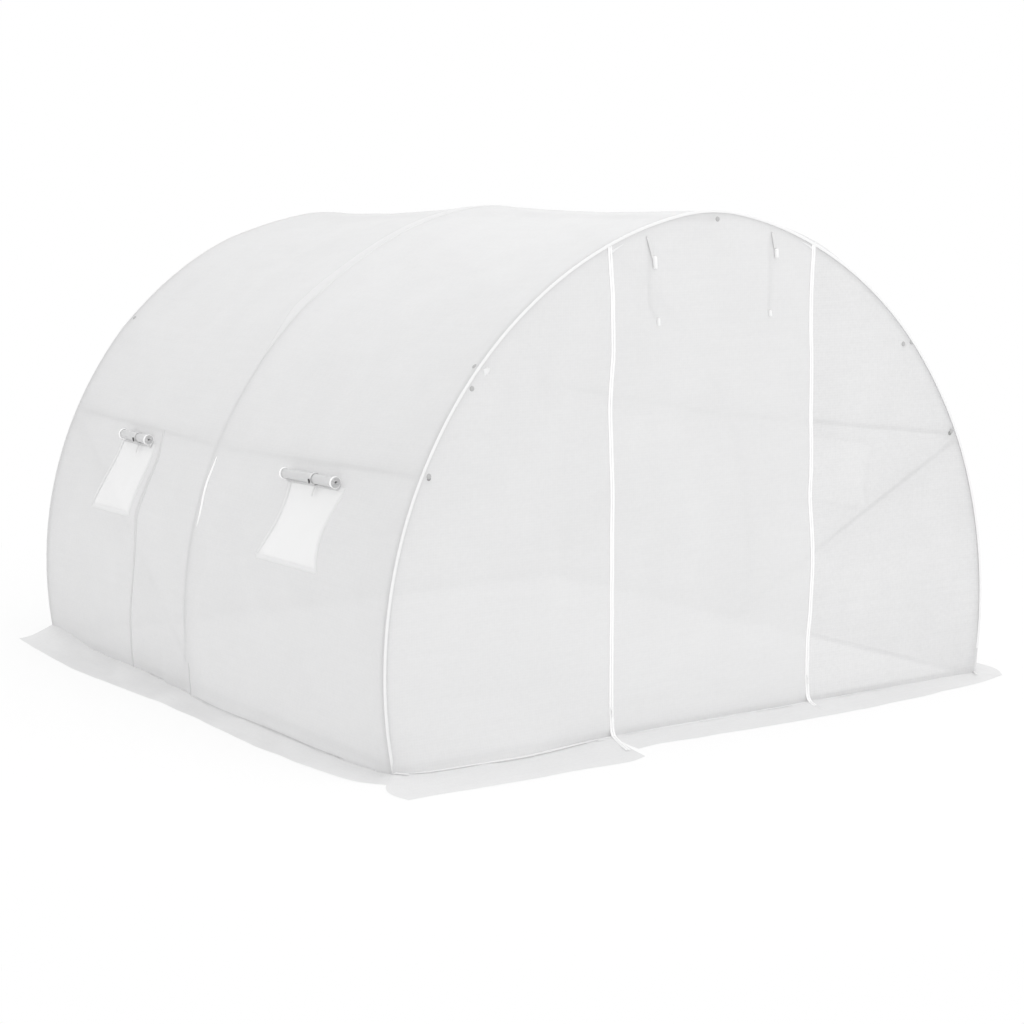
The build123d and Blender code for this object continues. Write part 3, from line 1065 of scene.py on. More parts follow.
def creaseShadeStrips():
    z, y = np.array(crease["line"]).T
    t = np.linspace(0, 1, 12)
    runs = np.linspace(0, 1, len(z))
    s, y = np.interp(t, runs, [arch.along(v) for v in z]), np.interp(t, runs, y)
    wide = crease["wide"] * (0.15 + 0.85 * hump(t) ** 0.5)
    parts = []
    for line in [s, mirrored(s)]:
        flat = y - (coverPoints(line, y)[:, 1] - y)
        across = flat[:, None] + wide[:, None] * np.array([-1.0, -0.7, 0.7, 1.0])
        parts.append(patchOnCover(line[:, None], across, [-0.0004, 0.0012, 0.0012, -0.0004]))
    return joined(parts)


def lapStrip():
    foot = arch.along(lap["from"])
    s = steps(foot, mirrored(foot), lap["step"])[:, None]
    t = np.linspace(0, 1, len(s))[:, None]
    ends = np.clip(hump(t) * 2.2, 0, 1)
    wide = lap["wide"] * (0.03 + 0.97 * smooth(ends)) * (1 + 0.15 * np.sin(17 * t))
    start = hoopLine("middle", s) + lap["near"] - lap["over"] * smooth((ends - 0.7) / 0.3)
    y = start + wide * np.array([0.0, 0.02, 0.15, 0.30, 0.45, 0.60, 0.75, 0.88, 0.98, 1.0])
    return patchOnCover(s, y, lap["lift"] * np.array([0.1, 1, 1, 1, 1, 1, 1, 1, 1, 0.1]))


sheets = {
    "front": (-end, tunnel["seam"], window["places"][0]),
    "back": (tunnel["seam"], end, window["places"][1]),
}
capsule = [(-0.0017, 0), (-0.0012, 0.0005), (0.0012, 0.0005), (0.0017, 0)]
stitchItem = itemMesh(
    "stitchItem",
    [(x, r * math.cos(a), r * math.sin(a) * 0.8) for x, r in capsule for a in np.arange(5) / 5 * math.tau],
    gridFaces(4, 5, loop=True),
)
hoopParts = [f"{part}_{side}" for part in ["leg", "arch"] for side in sideNames]
hoopPieces = [f"tube_{hoop}_{part}" for hoop in hoopPlaces for part in hoopParts]
for sheet, (low, high, place) in sheets.items():
    replaced = [f"{wall}_{sheet}" for wall in ["left_wall", "right_wall", "roof"]]
    cover = coverSheet(f"cover_{sheet}", low, high, place, replaced)
    hems = joined([windowHem(side, place) for side in sideNames])
    hem = meshPiece(f"window_hems_{sheet}", hems, "hem", "film")
    lines = hemStitches(place)
    sewn = repeated(f"window_stitches_{sheet}", lines, stitchItem, "thread", "film", stitching["pitch"])
    extra = [hem, sewn]
    if sheet == "back":
        wall = steps(0.01, purlinLine, 0.015)
        strips = [seamStrip(wall, low), seamStrip(mirrored(wall), low)]
        extra.append(meshPiece("cover_seam", joined(strips), "film", "film"))
        offsets = [(s, k) for s in [wall, mirrored(wall)] for k in [-0.005, 0.005]]
        rows = [stitchPath(s, low + k, stitching["seamLift"]) for s, k in offsets]
        extra.append(repeated("seam_stitches", rows, stitchItem, "thread", "film", stitching["pitch"]))
    else:
        # the pleat's glowing tape finish is a painted highlight
        extra.append(meshPiece("cover_pleat", pleat(), "tape", "film"))
        extra.append(meshPiece("cover_lap", lapStrip(), "lapFilm", "film"))
        # dark strips of painted shade at the middle leg's foot
        extra.append(meshPiece("cover_creases", creaseShadeStrips(), "crease", "film"))
    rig.sheet(
        cover,
        flat=(high - low, 2 * arch.half),
        held="stretched",
        rests_on=[n for n in hoopPieces if ("back" if sheet == "front" else "front") not in n],
        area=(high - low) * 2 * arch.half - 2 * window["width"] * window["height"],
        with_pieces=extra,
    )
print("cover made")


# end walls: flat cuts laced to the end hoops, with slow folds; the front is parted at the zips
endWall = {
    "step": 0.0150,
    "face": tunnel["halfLength"] + 0.0020,
    "under": 0.001,  # the film ends this far below the hoop's top
    "fold": 0.0034,
    "belly": 0.008,
    "frontSeed": 11.3,
    "backSeed": 52.7,
}
zips = {
    "left": {
        "place": -tunnel["doorHalf"],
        "drift": [
            (0.00, 5), (0.10, 6), (0.25, 9), (0.33, 12), (0.47, 14), (0.55, 12), (0.62, 15), (0.78, 15),
            (0.88, 17), (0.96, 16), (1.08, 11), (1.155, 8), (1.23, 3), (1.31, 5), (1.38, 10), (1.457, 17),
            (1.533, 15), (1.61, 12), (1.684, 11), (1.76, 4), (1.86, -4),
        ],
        "tail": (-0.070, 0.192),
    },
    "right": {
        "place": tunnel["doorHalf"],
        "drift": [
            (0.00, -2), (0.12, -2), (0.20, 2), (0.28, 6), (0.36, 20), (0.44, 25), (0.52, 33), (0.60, 35),
            (0.69, 30), (0.77, 24), (0.85, 17), (0.93, 24), (1.01, 25), (1.09, 23), (1.17, 20), (1.25, 21),
            (1.33, 21), (1.415, 20), (1.50, 15), (1.577, 14), (1.657, 14), (1.737, 17), (1.82, 24),
            (1.86, 26),
        ],
        "tail": (-0.030, 0.118),
    },
}
doorHalf = tunnel["doorHalf"]


def zipDrift(form, z):
    # how far a zip leaves its straight line at a height, from places given in millimetres
    heights, offsets = zip(*form["drift"])
    return sum(np.interp(z + k, heights, offsets) for k in (-0.03, -0.01, 0.01, 0.03)) * 0.00025


def doorPull(x, z):
    # the zips take the film near them along
    pull = np.zeros_like(x)
    for form in zips.values():
        near = np.clip(1 - np.abs(x - form["place"]) / 0.30, 0, 1)
        pull += zipDrift(form, z) * near * near * (3 - 2 * near)
    return x + pull


def endFolds(x, z, seed):
    # how far the end film lies inside its flat face
    flat = np.stack([x, z], axis=1)
    edge = np.clip((arch.halfWidthAt(z) - np.abs(x)) / 0.12, 0, 1)
    level = wave(flat, (1.4, 5.5), seed) * 0.7 + wave(flat, (3.0, 12.0), seed + 4.0) * 0.3
    upright = wave(flat, (8.0, 1.2), seed + 7.0)
    lowDown = np.clip(1 - z / 0.9, 0, 1)
    inward = endWall["belly"] * hump(np.clip(z / 1.7, 0, 1)) * edge
    folds = endWall["fold"] * (level * (0.4 + lowDown) + upright * 0.35) * edge
    return np.maximum(inward + folds, 0)


def frontPoints(x, z, lift=0.0):
    x, z = np.asarray(x, dtype=float), np.asarray(z, dtype=float)
    y = -endWall["face"] + endFolds(x, z, endWall["frontSeed"]) - lift
    return np.stack([doorPull(x, z), y - kick("front", x, z), z], axis=1)


def backPoints(x, z):
    return np.stack([x, endWall["face"] - endFolds(x, z, endWall["backSeed"]), z], axis=1)


def onEnd(place, x, z, *lift):
    # a skin on an end wall, given as a grid of places
    return place(x.ravel(), z.ravel(), *lift), gridFaces(*x.shape), np.stack([x.ravel(), z.ravel()], 1)


def endPanel(name, left, right, place, node, held, finish="endFilm"):
    # left and right are places across the end; None means out to the hoop
    if left is None or right is None:
        inner = min([abs(v) for v in (left, right) if v is not None], default=0)
        rows = steps(drape["ground"], arch.heightAt(inner) - endWall["under"], endWall["step"])
        reach = arch.halfWidthAt(rows)
        low = -reach if left is None else np.full_like(rows, left)
        high = reach if right is None else np.full_like(rows, right)
        t = steps(0, 1, endWall["step"] / max(high - low))
        x = low[:, None] + (high - low)[:, None] * t
        z = np.broadcast_to(rows[:, None], x.shape)
    else:
        across = steps(left, right, endWall["step"])
        tops = np.array([arch.heightAt(v) - endWall["under"] for v in across])
        t = steps(0, 1, endWall["step"] / max(tops))[:, None]
        x = np.broadcast_to(across, (len(t), len(across)))
        z = drape["ground"] + (tops - drape["ground"]) * t
    points, faces, cut = onEnd(place, x, z)
    piece = meshPiece(name, (points, faces, cut), finish, "film")
    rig.replaces(piece, node)
    corners = cut[np.array(faces)]
    a, b = corners[:, 2] - corners[:, 0], corners[:, 3] - corners[:, 1]
    area = 0.5 * np.abs(a[:, 0] * b[:, 1] - a[:, 1] * b[:, 0]).sum()
    flat = (np.ptp(cut[:, 0]), np.ptp(cut[:, 1]))
    return piece, {"flat": flat, "held": "stretched", "rests_on": held, "area": float(area)}


frontHoop = ["tube_front_leg_left", "tube_front_arch_left", "tube_front_arch_right", "tube_front_leg_right"]
backHoop = [n.replace("front", "back") for n in frontHoop]
leftPanel = endPanel("front_left", None, -doorHalf, frontPoints, "front_panel_left", frontHoop[:2])
rightPanel = endPanel(
    "front_right", doorHalf, None, frontPoints, "front_panel_right", frontHoop[2:], "clearFilm"
)
door = endPanel("door", -doorHalf, doorHalf, frontPoints, "front_door", frontHoop[1:3])
backPanel = endPanel("back_end", None, None, backPoints, "back_wall", backHoop)


# the tape round both ends, with a hooked foot at each side
binding = {"wide": 0.0120, "thick": 0.0026, "inset": 0.0030, "wobble": 0.0012, "hook": (0.034, 0.048)}


def bindingTape(sign):
    s = steps(0.012, mirrored(0.012), 0.018)
    wobble = wander(s, 3.0, 2.0 * sign, 4.4)
    x, z = arch.place(s, binding["inset"] + binding["wobble"] * wobble)
    y = sign * (end + binding["thick"] / 2 - 0.0009)
    path = np.stack([x, np.full_like(x, y), z], 1)
    side = np.array([archNormal(v) for v in s])
    hooks, bent = [], []
    for foot, edge, turn in [(path[0], side[0], 1), (path[-1], side[-1], -1)]:
        t = steps(0, 1, 0.1)[1:, None]
        out = np.array([turn * binding["hook"][0], sign * binding["hook"][1], 0.0])
        drop = np.array(upwards) * (0.0140 - foot[2]) * np.minimum(t * 3, 1)
        hooks.append(foot + out * t**1.4 + drop)
        bent.append(edge * (1 - t) + np.array([-turn * 0.45, sign * 0.89, 0.0]) * t)
    path = np.concatenate([hooks[0][::-1], path, hooks[1]])
    side = np.concatenate([bent[0][::-1], side, bent[1]])
    return swept(path, side, roundSection(binding["wide"] / 2, binding["thick"] / 2, 12, 3.0))


edging = meshPiece("end_binding", joined([bindingTape(sign) for sign in (-1, 1)]), "binding", "piping")
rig.replaces(edging, "end_piping")

# door zips: two tapes, a coil of teeth between them, and a slider near the foot
zipForm = {"wide": 0.018, "thick": 0.0016, "lift": 0.0016, "pitch": 0.0026, "foot": 0.014, "bend": 0.040}
toothCorners = [(-0.0009, -0.0018), (0.0009, -0.0018), (0.0009, 0.0018), (-0.0009, 0.0018)]
toothItem = itemMesh(
    "toothItem",
    [(x * k, y * k, z) for z, k in [(0, 1.0), (0.0009, 0.9), (0.0016, 0.5)] for x, y in toothCorners],
    gridFaces(3, 4, loop=True) + [(8, 9, 10, 11)],
)


def zipPath(form):
    top = arch.heightAt(form["place"]) - 0.010
    z = steps(zipForm["foot"] + zipForm["bend"], top, 0.02)[::-1]
    upright = frontPoints(np.full_like(z, form["place"]), z, zipForm["lift"])
    foot = upright[-1]
    turn = steps(0, math.pi / 2, 0.2)[1:, None]
    drift, reach = form["tail"]
    bend = zipForm["bend"]
    down = np.array([0, 0, -1.0])
    outward = np.array([drift, -reach, 0.0]) / math.hypot(drift, reach)
    curl = foot + down * bend * np.sin(turn) + outward * bend * (1 - np.cos(turn))
    rest = steps(0, 1, 0.1)[1:, None]
    drop = down * (curl[-1][2] - 0.007) * (1 - (1 - rest) ** 2)
    tail = curl[-1] + outward * (math.hypot(drift, reach) - bend) * rest + drop
    return np.concatenate([upright, curl, tail])


def ribbonSide(path):
    along = unit(np.gradient(path, axis=0))
    side = squared(np.tile(sideways, (len(path), 1)), along)
    return along, side, np.cross(along, side)


zipTapes, zipRows, zipSewing, sliders = [], [], [], []
for form in zips.values():
    path = zipPath(form)
    along, side, out = ribbonSide(path)
    for way in (-1, 1):
        middle = path + side * way * (zipForm["wide"] / 4 + 0.0006)
        section = roundSection(zipForm["wide"] / 4, zipForm["thick"] / 2, 10, 3.5)
        zipTapes.append(swept(middle, side, section))
        zipSewing.append((path + side * way * zipForm["wide"] * 0.40 + out * 0.0012, out))
    zipRows.append((path + out * 0.0006, out))
    sliders.append((path, along, side, out, int(len(path) * 0.80)))
# the zip tapes glow a little with painted light
zipTape = meshPiece("zip_tapes", joined(zipTapes), "tape", "zips")
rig.replaces(zipTape, "door_zips")
zipTeeth = repeated("zip_teeth", zipRows, toothItem, "teeth", "zips", pitch=zipForm["pitch"])
zipStitches = repeated("zip_stitches", zipSewing, stitchItem, "thread", "zips", stitching["pitch"])


# each part of a slider: where it lies, its half widths and its half thickness
sliderParts = [
    {"from": -0.007, "to": 0.007, "step": 0.002, "off": 0.0, "thick": 0.0024,
     "at": [0, 0.2, 0.8, 1], "wide": [0.0040, 0.0056, 0.0046, 0.0030]},
    {"from": 0.004, "to": 0.030, "step": 0.003, "off": 0.0032, "thick": 0.0007,
     "at": [0, 0.3, 0.8, 1], "wide": [0.0022, 0.0032, 0.0044, 0.0026]},
]


def sliderSkin(path, along, side, out, at):
    # the slider's body, and its pull hanging flat below
    parts = []
    for form in sliderParts:
        run = steps(form["from"], form["to"], form["step"])[:, None]
        line = path[at] + out[at] * 0.0028 + along[at] * run + out[at] * form["off"]
        widths = np.interp(np.linspace(0, 1, len(line)), form["at"], form["wide"])
        parts.append(swept(line, side[at], sectionsOf(widths, form["thick"], 12, 3.0)))
    return joined(parts)


zipSliders = meshPiece("zip_sliders", joined([sliderSkin(*s) for s in sliders]), "toggle", "zips")

# small gussets where the zips meet the binding
gussetForm = {"behind": 0.005, "reach": 0.075, "under": 0.004, "drop": 0.026, "deep": 0.030, "lift": 0.0011}


def gusset(form):
    way = math.copysign(1, form["place"])
    t = steps(0, 1, 0.125)
    across, fall = np.meshgrid(t, t, indexing="ij")
    x = form["place"] + way * gussetForm["behind"] - way * gussetForm["reach"] * across * (1 - fall)
    top = np.array([arch.heightAt(v) for v in x.ravel()]).reshape(x.shape) - gussetForm["under"]
    z = top - gussetForm["drop"] - gussetForm["deep"] * fall * (1 - across * 0.6)
    return onEnd(frontPoints, x, z, gussetForm["lift"])


gussets = meshPiece("zip_gussets", joined([gusset(f) for f in zips.values()]), "hem", "film")

# a small torn-edged repair patch inside the left haunch
repair = {"x": -1.062, "z": 1.422, "size": 0.012, "tall": 1.5, "lift": 0.0016}


def haunchPatch():
    turn, share = np.meshgrid(np.arange(16) / 16 * math.tau, np.array([0.02, 0.5, 0.9, 1.0]), indexing="ij")
    size = repair["size"] * (1 + 0.25 * np.sin(2 * turn + 1) + 0.20 * np.sin(5 * turn)) * share
    x, z = repair["x"] + size * np.cos(turn), repair["z"] + repair["tall"] * size * np.sin(turn)
    lift = repair["lift"] - 0.0014 * (share > 0.95)
    points, faces, cut = onEnd(frontPoints, x, z, lift.ravel())
    return points, faces + [(60 + j, 61 + j, 1 + j, j) for j in range(3)], cut


patch = meshPiece("haunch_patch", haunchPatch(), "hem", "film")

# grey discs on the cloth at both ends, where bolts sit behind it: their darkness is painted shade for the bolts seen
# through the film
studs = {
    "end": [(0.023, 1.9661), (-1.3091, 1.0577), (1.3167, 1.0585), (1.0311, 1.4393), (1.0773, 1.4458),
            (-1.1248, 1.3622)],
    "roof": [1.541, 1.589],
    "inFromEnd": 0.030,
    "lift": 0.0004,
}
studItem = turned("studItem", [(0.0100, -0.001), (0.0100, 0.0005), (0.0080, 0.0014), (0.0006, 0.0018)], 16)


def studLines():
    x, z = np.array(studs["end"]).T
    x = x - doorPull(x, z) + x  # the studs keep their places while the film is pulled
    front, back = frontPoints(x, z, studs["lift"]), backPoints(x, z)
    sides = [(front, np.array([0.0, -1.0, 0.0])), (back, np.array([0.0, 1.0, 0.0]))]
    roof, inside = np.array(studs["roof"]), end - studs["inFromEnd"]
    for s in [roof, mirrored(roof)]:
        points = coverPoints(s, [-inside, inside], studs["lift"])
        sides.append((points, archNormal(s.mean())))
    return sides


repeated("end_studs", studLines(), studItem, "stud", "tubes")

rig.sheet(leftPanel[0], **leftPanel[1], with_pieces=[patch])
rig.sheet(rightPanel[0], **rightPanel[1])
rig.sheet(door[0], **door[1], with_pieces=[zipTape, zipTeeth, zipStitches, zipSliders, gussets])
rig.sheet(backPanel[0], **backPanel[1], with_pieces=[edging])

# ties for the rolled door: short ones outside and long ones inside
ties = [
    {
        "outer": [(-0.326, 1.903), (-0.296, 1.812)],
        "bar": (-0.291, 1.802, 0.024),
        "inner": [(-0.312, 1.890), (-0.309, 1.764), (-0.307, 1.645), (-0.280, 1.590)],
        "knob": (-0.269, 1.575, 0.015),
    },
    {
        "outer": [(0.303, 1.912), (0.318, 1.845)],
        "bar": (0.3225, 1.828, 0.018),
        "inner": [(0.300, 1.900), (0.3006, 1.704), (0.295, 1.600)],
        "knob": (0.295, 1.590, 0.012),
    },
]


tieForm = {
    "wide": [0.011, 0.012],  # outer and inner
    "thick": 0.0014,
    "off": [0.0030, -0.0095],
    "slack": [0.002, -0.001],
    "barOff": 0.0070,
    "barRadius": 0.0085,
    "knobOff": 0.0020,
    "knobRadius": 0.0065,
}


def tieStrap(points, k):
    points = np.array(points, dtype=float)
    run = runAlong(points)
    t = steps(0, run[-1], 0.006)
    x, z = np.interp(t, run, points[:, 0]), np.interp(t, run, points[:, 1])
    y = -endWall["face"] - tieForm["off"][k] - tieForm["slack"][k] * np.sin(np.pi * t / run[-1])
    section = roundSection(tieForm["wide"][k] / 2, tieForm["thick"] / 2, 12, 3.5)
    return swept(np.stack([x, y, z], 1), sideways, section)


def tieBar(place, y, radius):
    x, z, half = place
    run = np.array([-1, -0.94, -0.75, 0.75, 0.94, 1])[:, None] * half
    line = np.array([x, y, z]) + run * np.array([0.08, 0.0, -1.0])
    radii = radius * np.array([0.5, 0.85, 1, 1, 0.85, 0.5])
    return swept(line, lengthwise, sectionsOf(radii, radii, 14))


strapSkins, toggleSkins, innerSkins = [], [], []
for tie in ties:
    strapSkins.append(tieStrap(tie["outer"], 0))
    toggleSkins.append(tieBar(tie["bar"], -endWall["face"] - tieForm["barOff"], tieForm["barRadius"]))
    innerSkins.append(tieStrap(tie["inner"], 1))
    toggleSkins.append(tieBar(tie["knob"], -endWall["face"] - tieForm["knobOff"], tieForm["knobRadius"]))
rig.replaces(meshPiece("door_tie_straps", joined(strapSkins), "strap", "straps"), "door_ties")
meshPiece("door_tie_toggles", joined(toggleSkins), "toggle", "straps")
# the inside straps carry painted shade, to show darkly through the film
meshPiece("door_inner_straps", joined(innerSkins), "innerStrap", "straps")
print("ends made")


# skirts: loose film on the ground, given by their inner and outer edges
skirts = {
    "left": {
        "inner": [(-1.459, -1.504), (-1.474, -1.430), (-1.498, -1.250), (-1.506, -0.700), (-1.503, -0.100),
                  (-1.476, 0.090), (-1.457, 0.500), (-1.459, 1.503)],
        "outer": [(-1.538, -1.597), (-1.608, -1.500), (-1.640, -1.300), (-1.660, -1.000), (-1.664, -0.700),
                  (-1.648, -0.300), (-1.650, 0.050), (-1.672, 0.480), (-1.682, 0.800), (-1.655, 1.200),
                  (-1.622, 1.545)],
        "rise": 0.006,
        "climb": 0.052,
        "seed": 2.2,
    },
    "front_left": {
        "inner": [(-1.463, -1.506), (-1.380, -1.536), (-1.200, -1.548), (-0.900, -1.552), (-0.760, -1.532),
                  (-0.500, -1.506)],
        "outer": [(-1.584, -1.800), (-1.420, -1.800), (-1.236, -1.815), (-1.050, -1.819), (-0.875, -1.812),
                  (-0.732, -1.822), (-0.640, -1.822), (-0.556, -1.792)],
        "rise": 0.006,
        "bulge": 0.058,
        "seed": 9.6,
    },
    "front_right": {
        "inner": [(-0.505, -1.505), (1.463, -1.505)],
        "outer": [(-0.510, -1.694), (-0.420, -1.682), (-0.240, -1.690), (-0.020, -1.700), (0.250, -1.708),
                  (0.670, -1.704), (1.100, -1.668), (1.400, -1.630), (1.540, -1.590)],
        "rise": 0.010,
        "seed": 15.1,
    },
    "back": {
        "inner": [(1.463, 1.506), (-1.463, 1.506)],
        "outer": [(1.350, 1.800), (0.700, 1.815), (0.0, 1.808), (-0.700, 1.816), (-1.350, 1.800)],
        "rise": 0.010,
        "seed": 21.7,
    },
}
skirtForm = {"step": 0.016, "ripple": 0.0075, "thin": 0.0030, "edge": 0.006, "lowest": 0.3}


def curveThrough(points, count):
    # a smooth line through points, at even steps
    points = np.array(points, dtype=float)
    run = runAlong(points)
    slope = np.gradient(points, run, axis=0)
    t = np.linspace(0, run[-1], count)
    k = np.clip(np.searchsorted(run, t, side="right") - 1, 0, len(points) - 2)
    gap = (run[k + 1] - run[k])[:, None]
    u = (t - run[k])[:, None] / gap
    return (
        points[k] * (1 + 2 * u) * (1 - u) ** 2
        + points[k + 1] * u * u * (3 - 2 * u)
        + slope[k] * gap * u * (1 - u) ** 2
        - slope[k + 1] * gap * u * u * (1 - u)
    )


def skirtSheet(name, form, nodes, mirror=False):
    length = np.linalg.norm(np.diff(form["inner"], axis=0), axis=1).sum()
    count = int(length / skirtForm["step"])
    inner, outer = curveThrough(form["inner"], count), curveThrough(form["outer"], count)
    deep = np.linalg.norm(outer - inner, axis=1)
    u = steps(0, 1, skirtForm["step"] / deep.mean())
    plan = inner[:, None] * (1 - u[None, :, None]) + outer[:, None] * u[None, :, None]
    along = np.linspace(0, length, count)[:, None] + 0 * u
    away = deep[:, None] * u
    flat = np.stack([along.ravel(), away.ravel()], 1)
    slanted = np.stack([flat[:, 0] * 0.8 + flat[:, 1] * 1.3, flat[:, 1]], 1)
    ripple = wave(flat, (5.5, 2.5), form["seed"]) + 0.5 * wave(flat, (13.0, 4.0), form["seed"] + 3.0)
    folds = (ripple + 0.7 * wave(slanted, (7.0, 3.0), form["seed"] + 6.0)).reshape(along.shape)
    near = np.clip(1 - u / 0.75, 0, 1)[None, :] ** 1.6
    height = folds * skirtForm["ripple"] * (0.35 + 0.65 * hump(u) ** 0.7)
    rise = form["rise"] * near * (1 + 0.25 * height / skirtForm["ripple"])
    z = skirtForm["thin"] + np.maximum(height + rise, 0)
    z[:, 0] = np.minimum(z[:, 0], 0.004 + form["rise"] * 0.9)
    # the side skirts climb the wall towards the back
    climb = form.get("climb", 0.0) * smooth((plan[..., 1] - 1.02) / 0.46)
    z += climb * (1 - u) ** 1.5
    plan[..., 0] -= 0.006 * (1 - u) * climb / 0.05
    edge = skirtForm["edge"] * wander(along[:, 0], 6.0, 1.0, form["seed"])
    plan = plan + (plan[:, -1:] - plan[:, :1]) / deep[:, None, None] * (edge[:, None] * u**2)[..., None]
    points = np.concatenate([plan.reshape(-1, 2), z.reshape(-1, 1)], 1)
    # near its start the sheet bulges sideways
    bulge = form.get("bulge", 0.0) * np.sin(np.pi * flat[:, 1] / deep.max())
    points[:, 0] -= bulge * np.exp(-flat[:, 0] / 0.10)
    if mirror:
        points[:, 0] *= -1
    # the skirt film is darkened with painted shade
    piece = meshPiece(name, (points, gridFaces(*z.shape), flat), "skirt", "skirts")
    if nodes:
        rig.replaces(piece, *nodes)
    flatSize = (length * 1.02, float(deep.max()) * 1.02)
    area = max(float(np.mean(deep) * length), skirtForm["lowest"] * flatSize[0] * flatSize[1])
    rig.sheet(piece, flat=flatSize, held="laid", area=area)


skirtSheet("skirt_left_side", skirts["left"], ["skirt_left"])
skirtSheet("skirt_right_side", skirts["left"] | {"seed": 31.4}, ["skirt_right"], mirror=True)
skirtSheet("skirt_front_left", skirts["front_left"], ["skirt_front"])

# a raised welt along the crease in front, and a short fold at the left zip's foot
welts = [
    {
        "line": [(-1.410, -1.538), (-1.355, -1.552), (-1.150, -1.566), (-0.914, -1.574), (-0.786, -1.556),
                 (-0.600, -1.528), (-0.500, -1.518)],
        "wide": 0.0060,
    },
    {"line": [(-0.590, -1.541), (-0.545, -1.533), (-0.495, -1.522)], "wide": 0.0050},
    {"line": [(-0.440, -1.521), (0.000, -1.524), (0.450, -1.522), (0.900, -1.518)], "wide": 0.0035},
]


def welt(form):
    line = curveThrough(form["line"], int(np.ptp(np.array(form["line"])[:, 0]) / 0.012) + 2)
    t = np.linspace(0, 1, len(line))
    path = np.concatenate([line, 0.0120 + 0 * t[:, None]], 1)
    path[:, 1] += 0.003 * wander(line[:, 0], 9.0, 0.3, 6.6)
    size = form["wide"] * (0.35 + 0.65 * hump(t) ** 0.4)
    return swept(path, lengthwise, sectionsOf(size, size * 0.6, 10))


meshPiece("front_welts", joined([welt(form) for form in welts]), "hem", "skirts")


def footCreaseShade(mirror):
    # painted shade: a thin dark strip where a side wall meets its skirt
    line = curveThrough(skirts["left"]["inner"], 260)
    line = line[(line[:, 1] < 0.52) & (line[:, 1] > -1.485)]
    t = np.linspace(0, 1, len(line))
    path = np.concatenate([line + [-0.0065, 0.0], 0.0130 + 0 * t[:, None]], 1)
    path[:, 0] *= -1 if mirror else 1
    size = 0.0030 * (0.3 + 0.7 * hump(t) ** 0.5) * (1 - 0.35 * t)
    return swept(path, sideways, sectionsOf(size, size * 0.7, 8))


meshPiece("side_creases", joined([footCreaseShade(False), footCreaseShade(True)]), "crease", "skirts")
skirtSheet("skirt_front_right", skirts["front_right"], [])
skirtSheet("skirt_back_end", skirts["back"], ["skirt_back"])
print("skirts made")


# windows: insect mesh behind each opening, and above it the rolled flap in its tie
roll = {
    "radius": 0.0200,
    "turns": 3.0,
    "pitch": 0.0050,
    "thick": 0.0046,
    "half": [0.199, 0.176],
    "shift": [0.025, -0.014],
    "rise": [0.025, 0.028],
    "hem": 0.012,
    "wobble": 0.0022,
}
screen = {"over": 0.008, "step": 0.013, "behind": 0.0016, "slack": 0.003, "dent": 0.0016}


def screenSheet(side, place):
    over, half = screen["over"], window["width"] / 2 + screen["over"]
    s = steps(sillLine - over, headLine + over, screen["step"])
    y = steps(place - half, place + half, screen["step"])
    if side == "right":
        s = mirrored(s)
    rows, columns = len(s), len(y)
    s, y = gridOf(s, y)
    t = np.clip((nearestFoot(s) - sillLine) / (headLine - sillLine), 0, 1)
    v = np.clip((y - place) / (window["width"] / 2), -1, 1)
    slack = screen["slack"] * hump(t) * np.cos(np.pi * v / 2)
    dent = screen["dent"] * wave(np.stack([s, y], 1), (9.0, 14.0), 7.7 + place) * hump(t)
    points = coverPoints(s, y, -(screen["behind"] + slack + dent))
    return points, gridFaces(rows, columns), np.stack([y, s], 1)


def rollSkin(side, k):
    # the flap leaves the window's head, lies up the wall and coils outwards
    place, half, shift = window["places"][k], roll["half"][k], roll["shift"][k]
    turn = -np.linspace(0, roll["turns"] * math.tau, 90) + math.pi
    radius = roll["radius"] - roll["pitch"] * np.linspace(0, roll["turns"], 90)
    coil = np.stack([roll["radius"] + radius * np.cos(turn), radius * np.sin(turn)], 1)
    stem = np.stack([np.linspace(0.0012, 0.0, 6)[:-1], np.linspace(-roll["rise"][k], 0, 6)[:-1]], 1)
    line = np.concatenate([stem, coil])
    along = unit(np.gradient(line, axis=0))
    out = np.stack([-along[:, 1], along[:, 0]], 1) * roll["thick"] / 2
    section = np.concatenate([line + out, (line - out)[::-1]])
    y = steps(place + shift - half, place + shift + half, 0.02)
    s = arch.along(window["sill"] + window["height"] + roll["rise"][k])
    normal = archNormal(s)
    if side == "right":
        normal = normal * [-1, 1, 1]
    wobble = roll["wobble"] * wander(y, 5.0, 1.1, place * 3)
    path = coverPoints(np.full_like(y, s if side == "left" else mirrored(s)), y, 0.0036)
    path += normal * np.abs(wobble)[:, None]
    tangent = np.array([-normal[2] * math.copysign(1, normal[0]), 0.0, abs(normal[0])])
    points = path[:, None] + section[None, :, :1] * normal + section[None, :, 1:] * tangent
    count = len(section)
    faces = gridFaces(len(path), count, loop=True)
    last = (len(path) - 1) * count
    for i in range(len(line) - 1):
        a, b, c, d = i, i + 1, count - 2 - i, count - 1 - i
        faces.append((a, d, c, b))
        faces.append((last + a, last + b, last + c, last + d))
    cut = np.stack([np.repeat(y, count), np.tile(runAlong(section), len(path))], 1)
    length = float(np.linalg.norm(np.diff(line, axis=0), axis=1).sum())
    return (points.reshape(-1, 3), faces, cut), length, (path, normal, tangent)


def aroundRoll(centre, turn, radius, normal, tangent):
    across, up = (np.cos(turn) * radius)[:, None], (np.sin(turn) * radius)[:, None]
    return centre + normal * roll["radius"] + across * normal + up * tangent


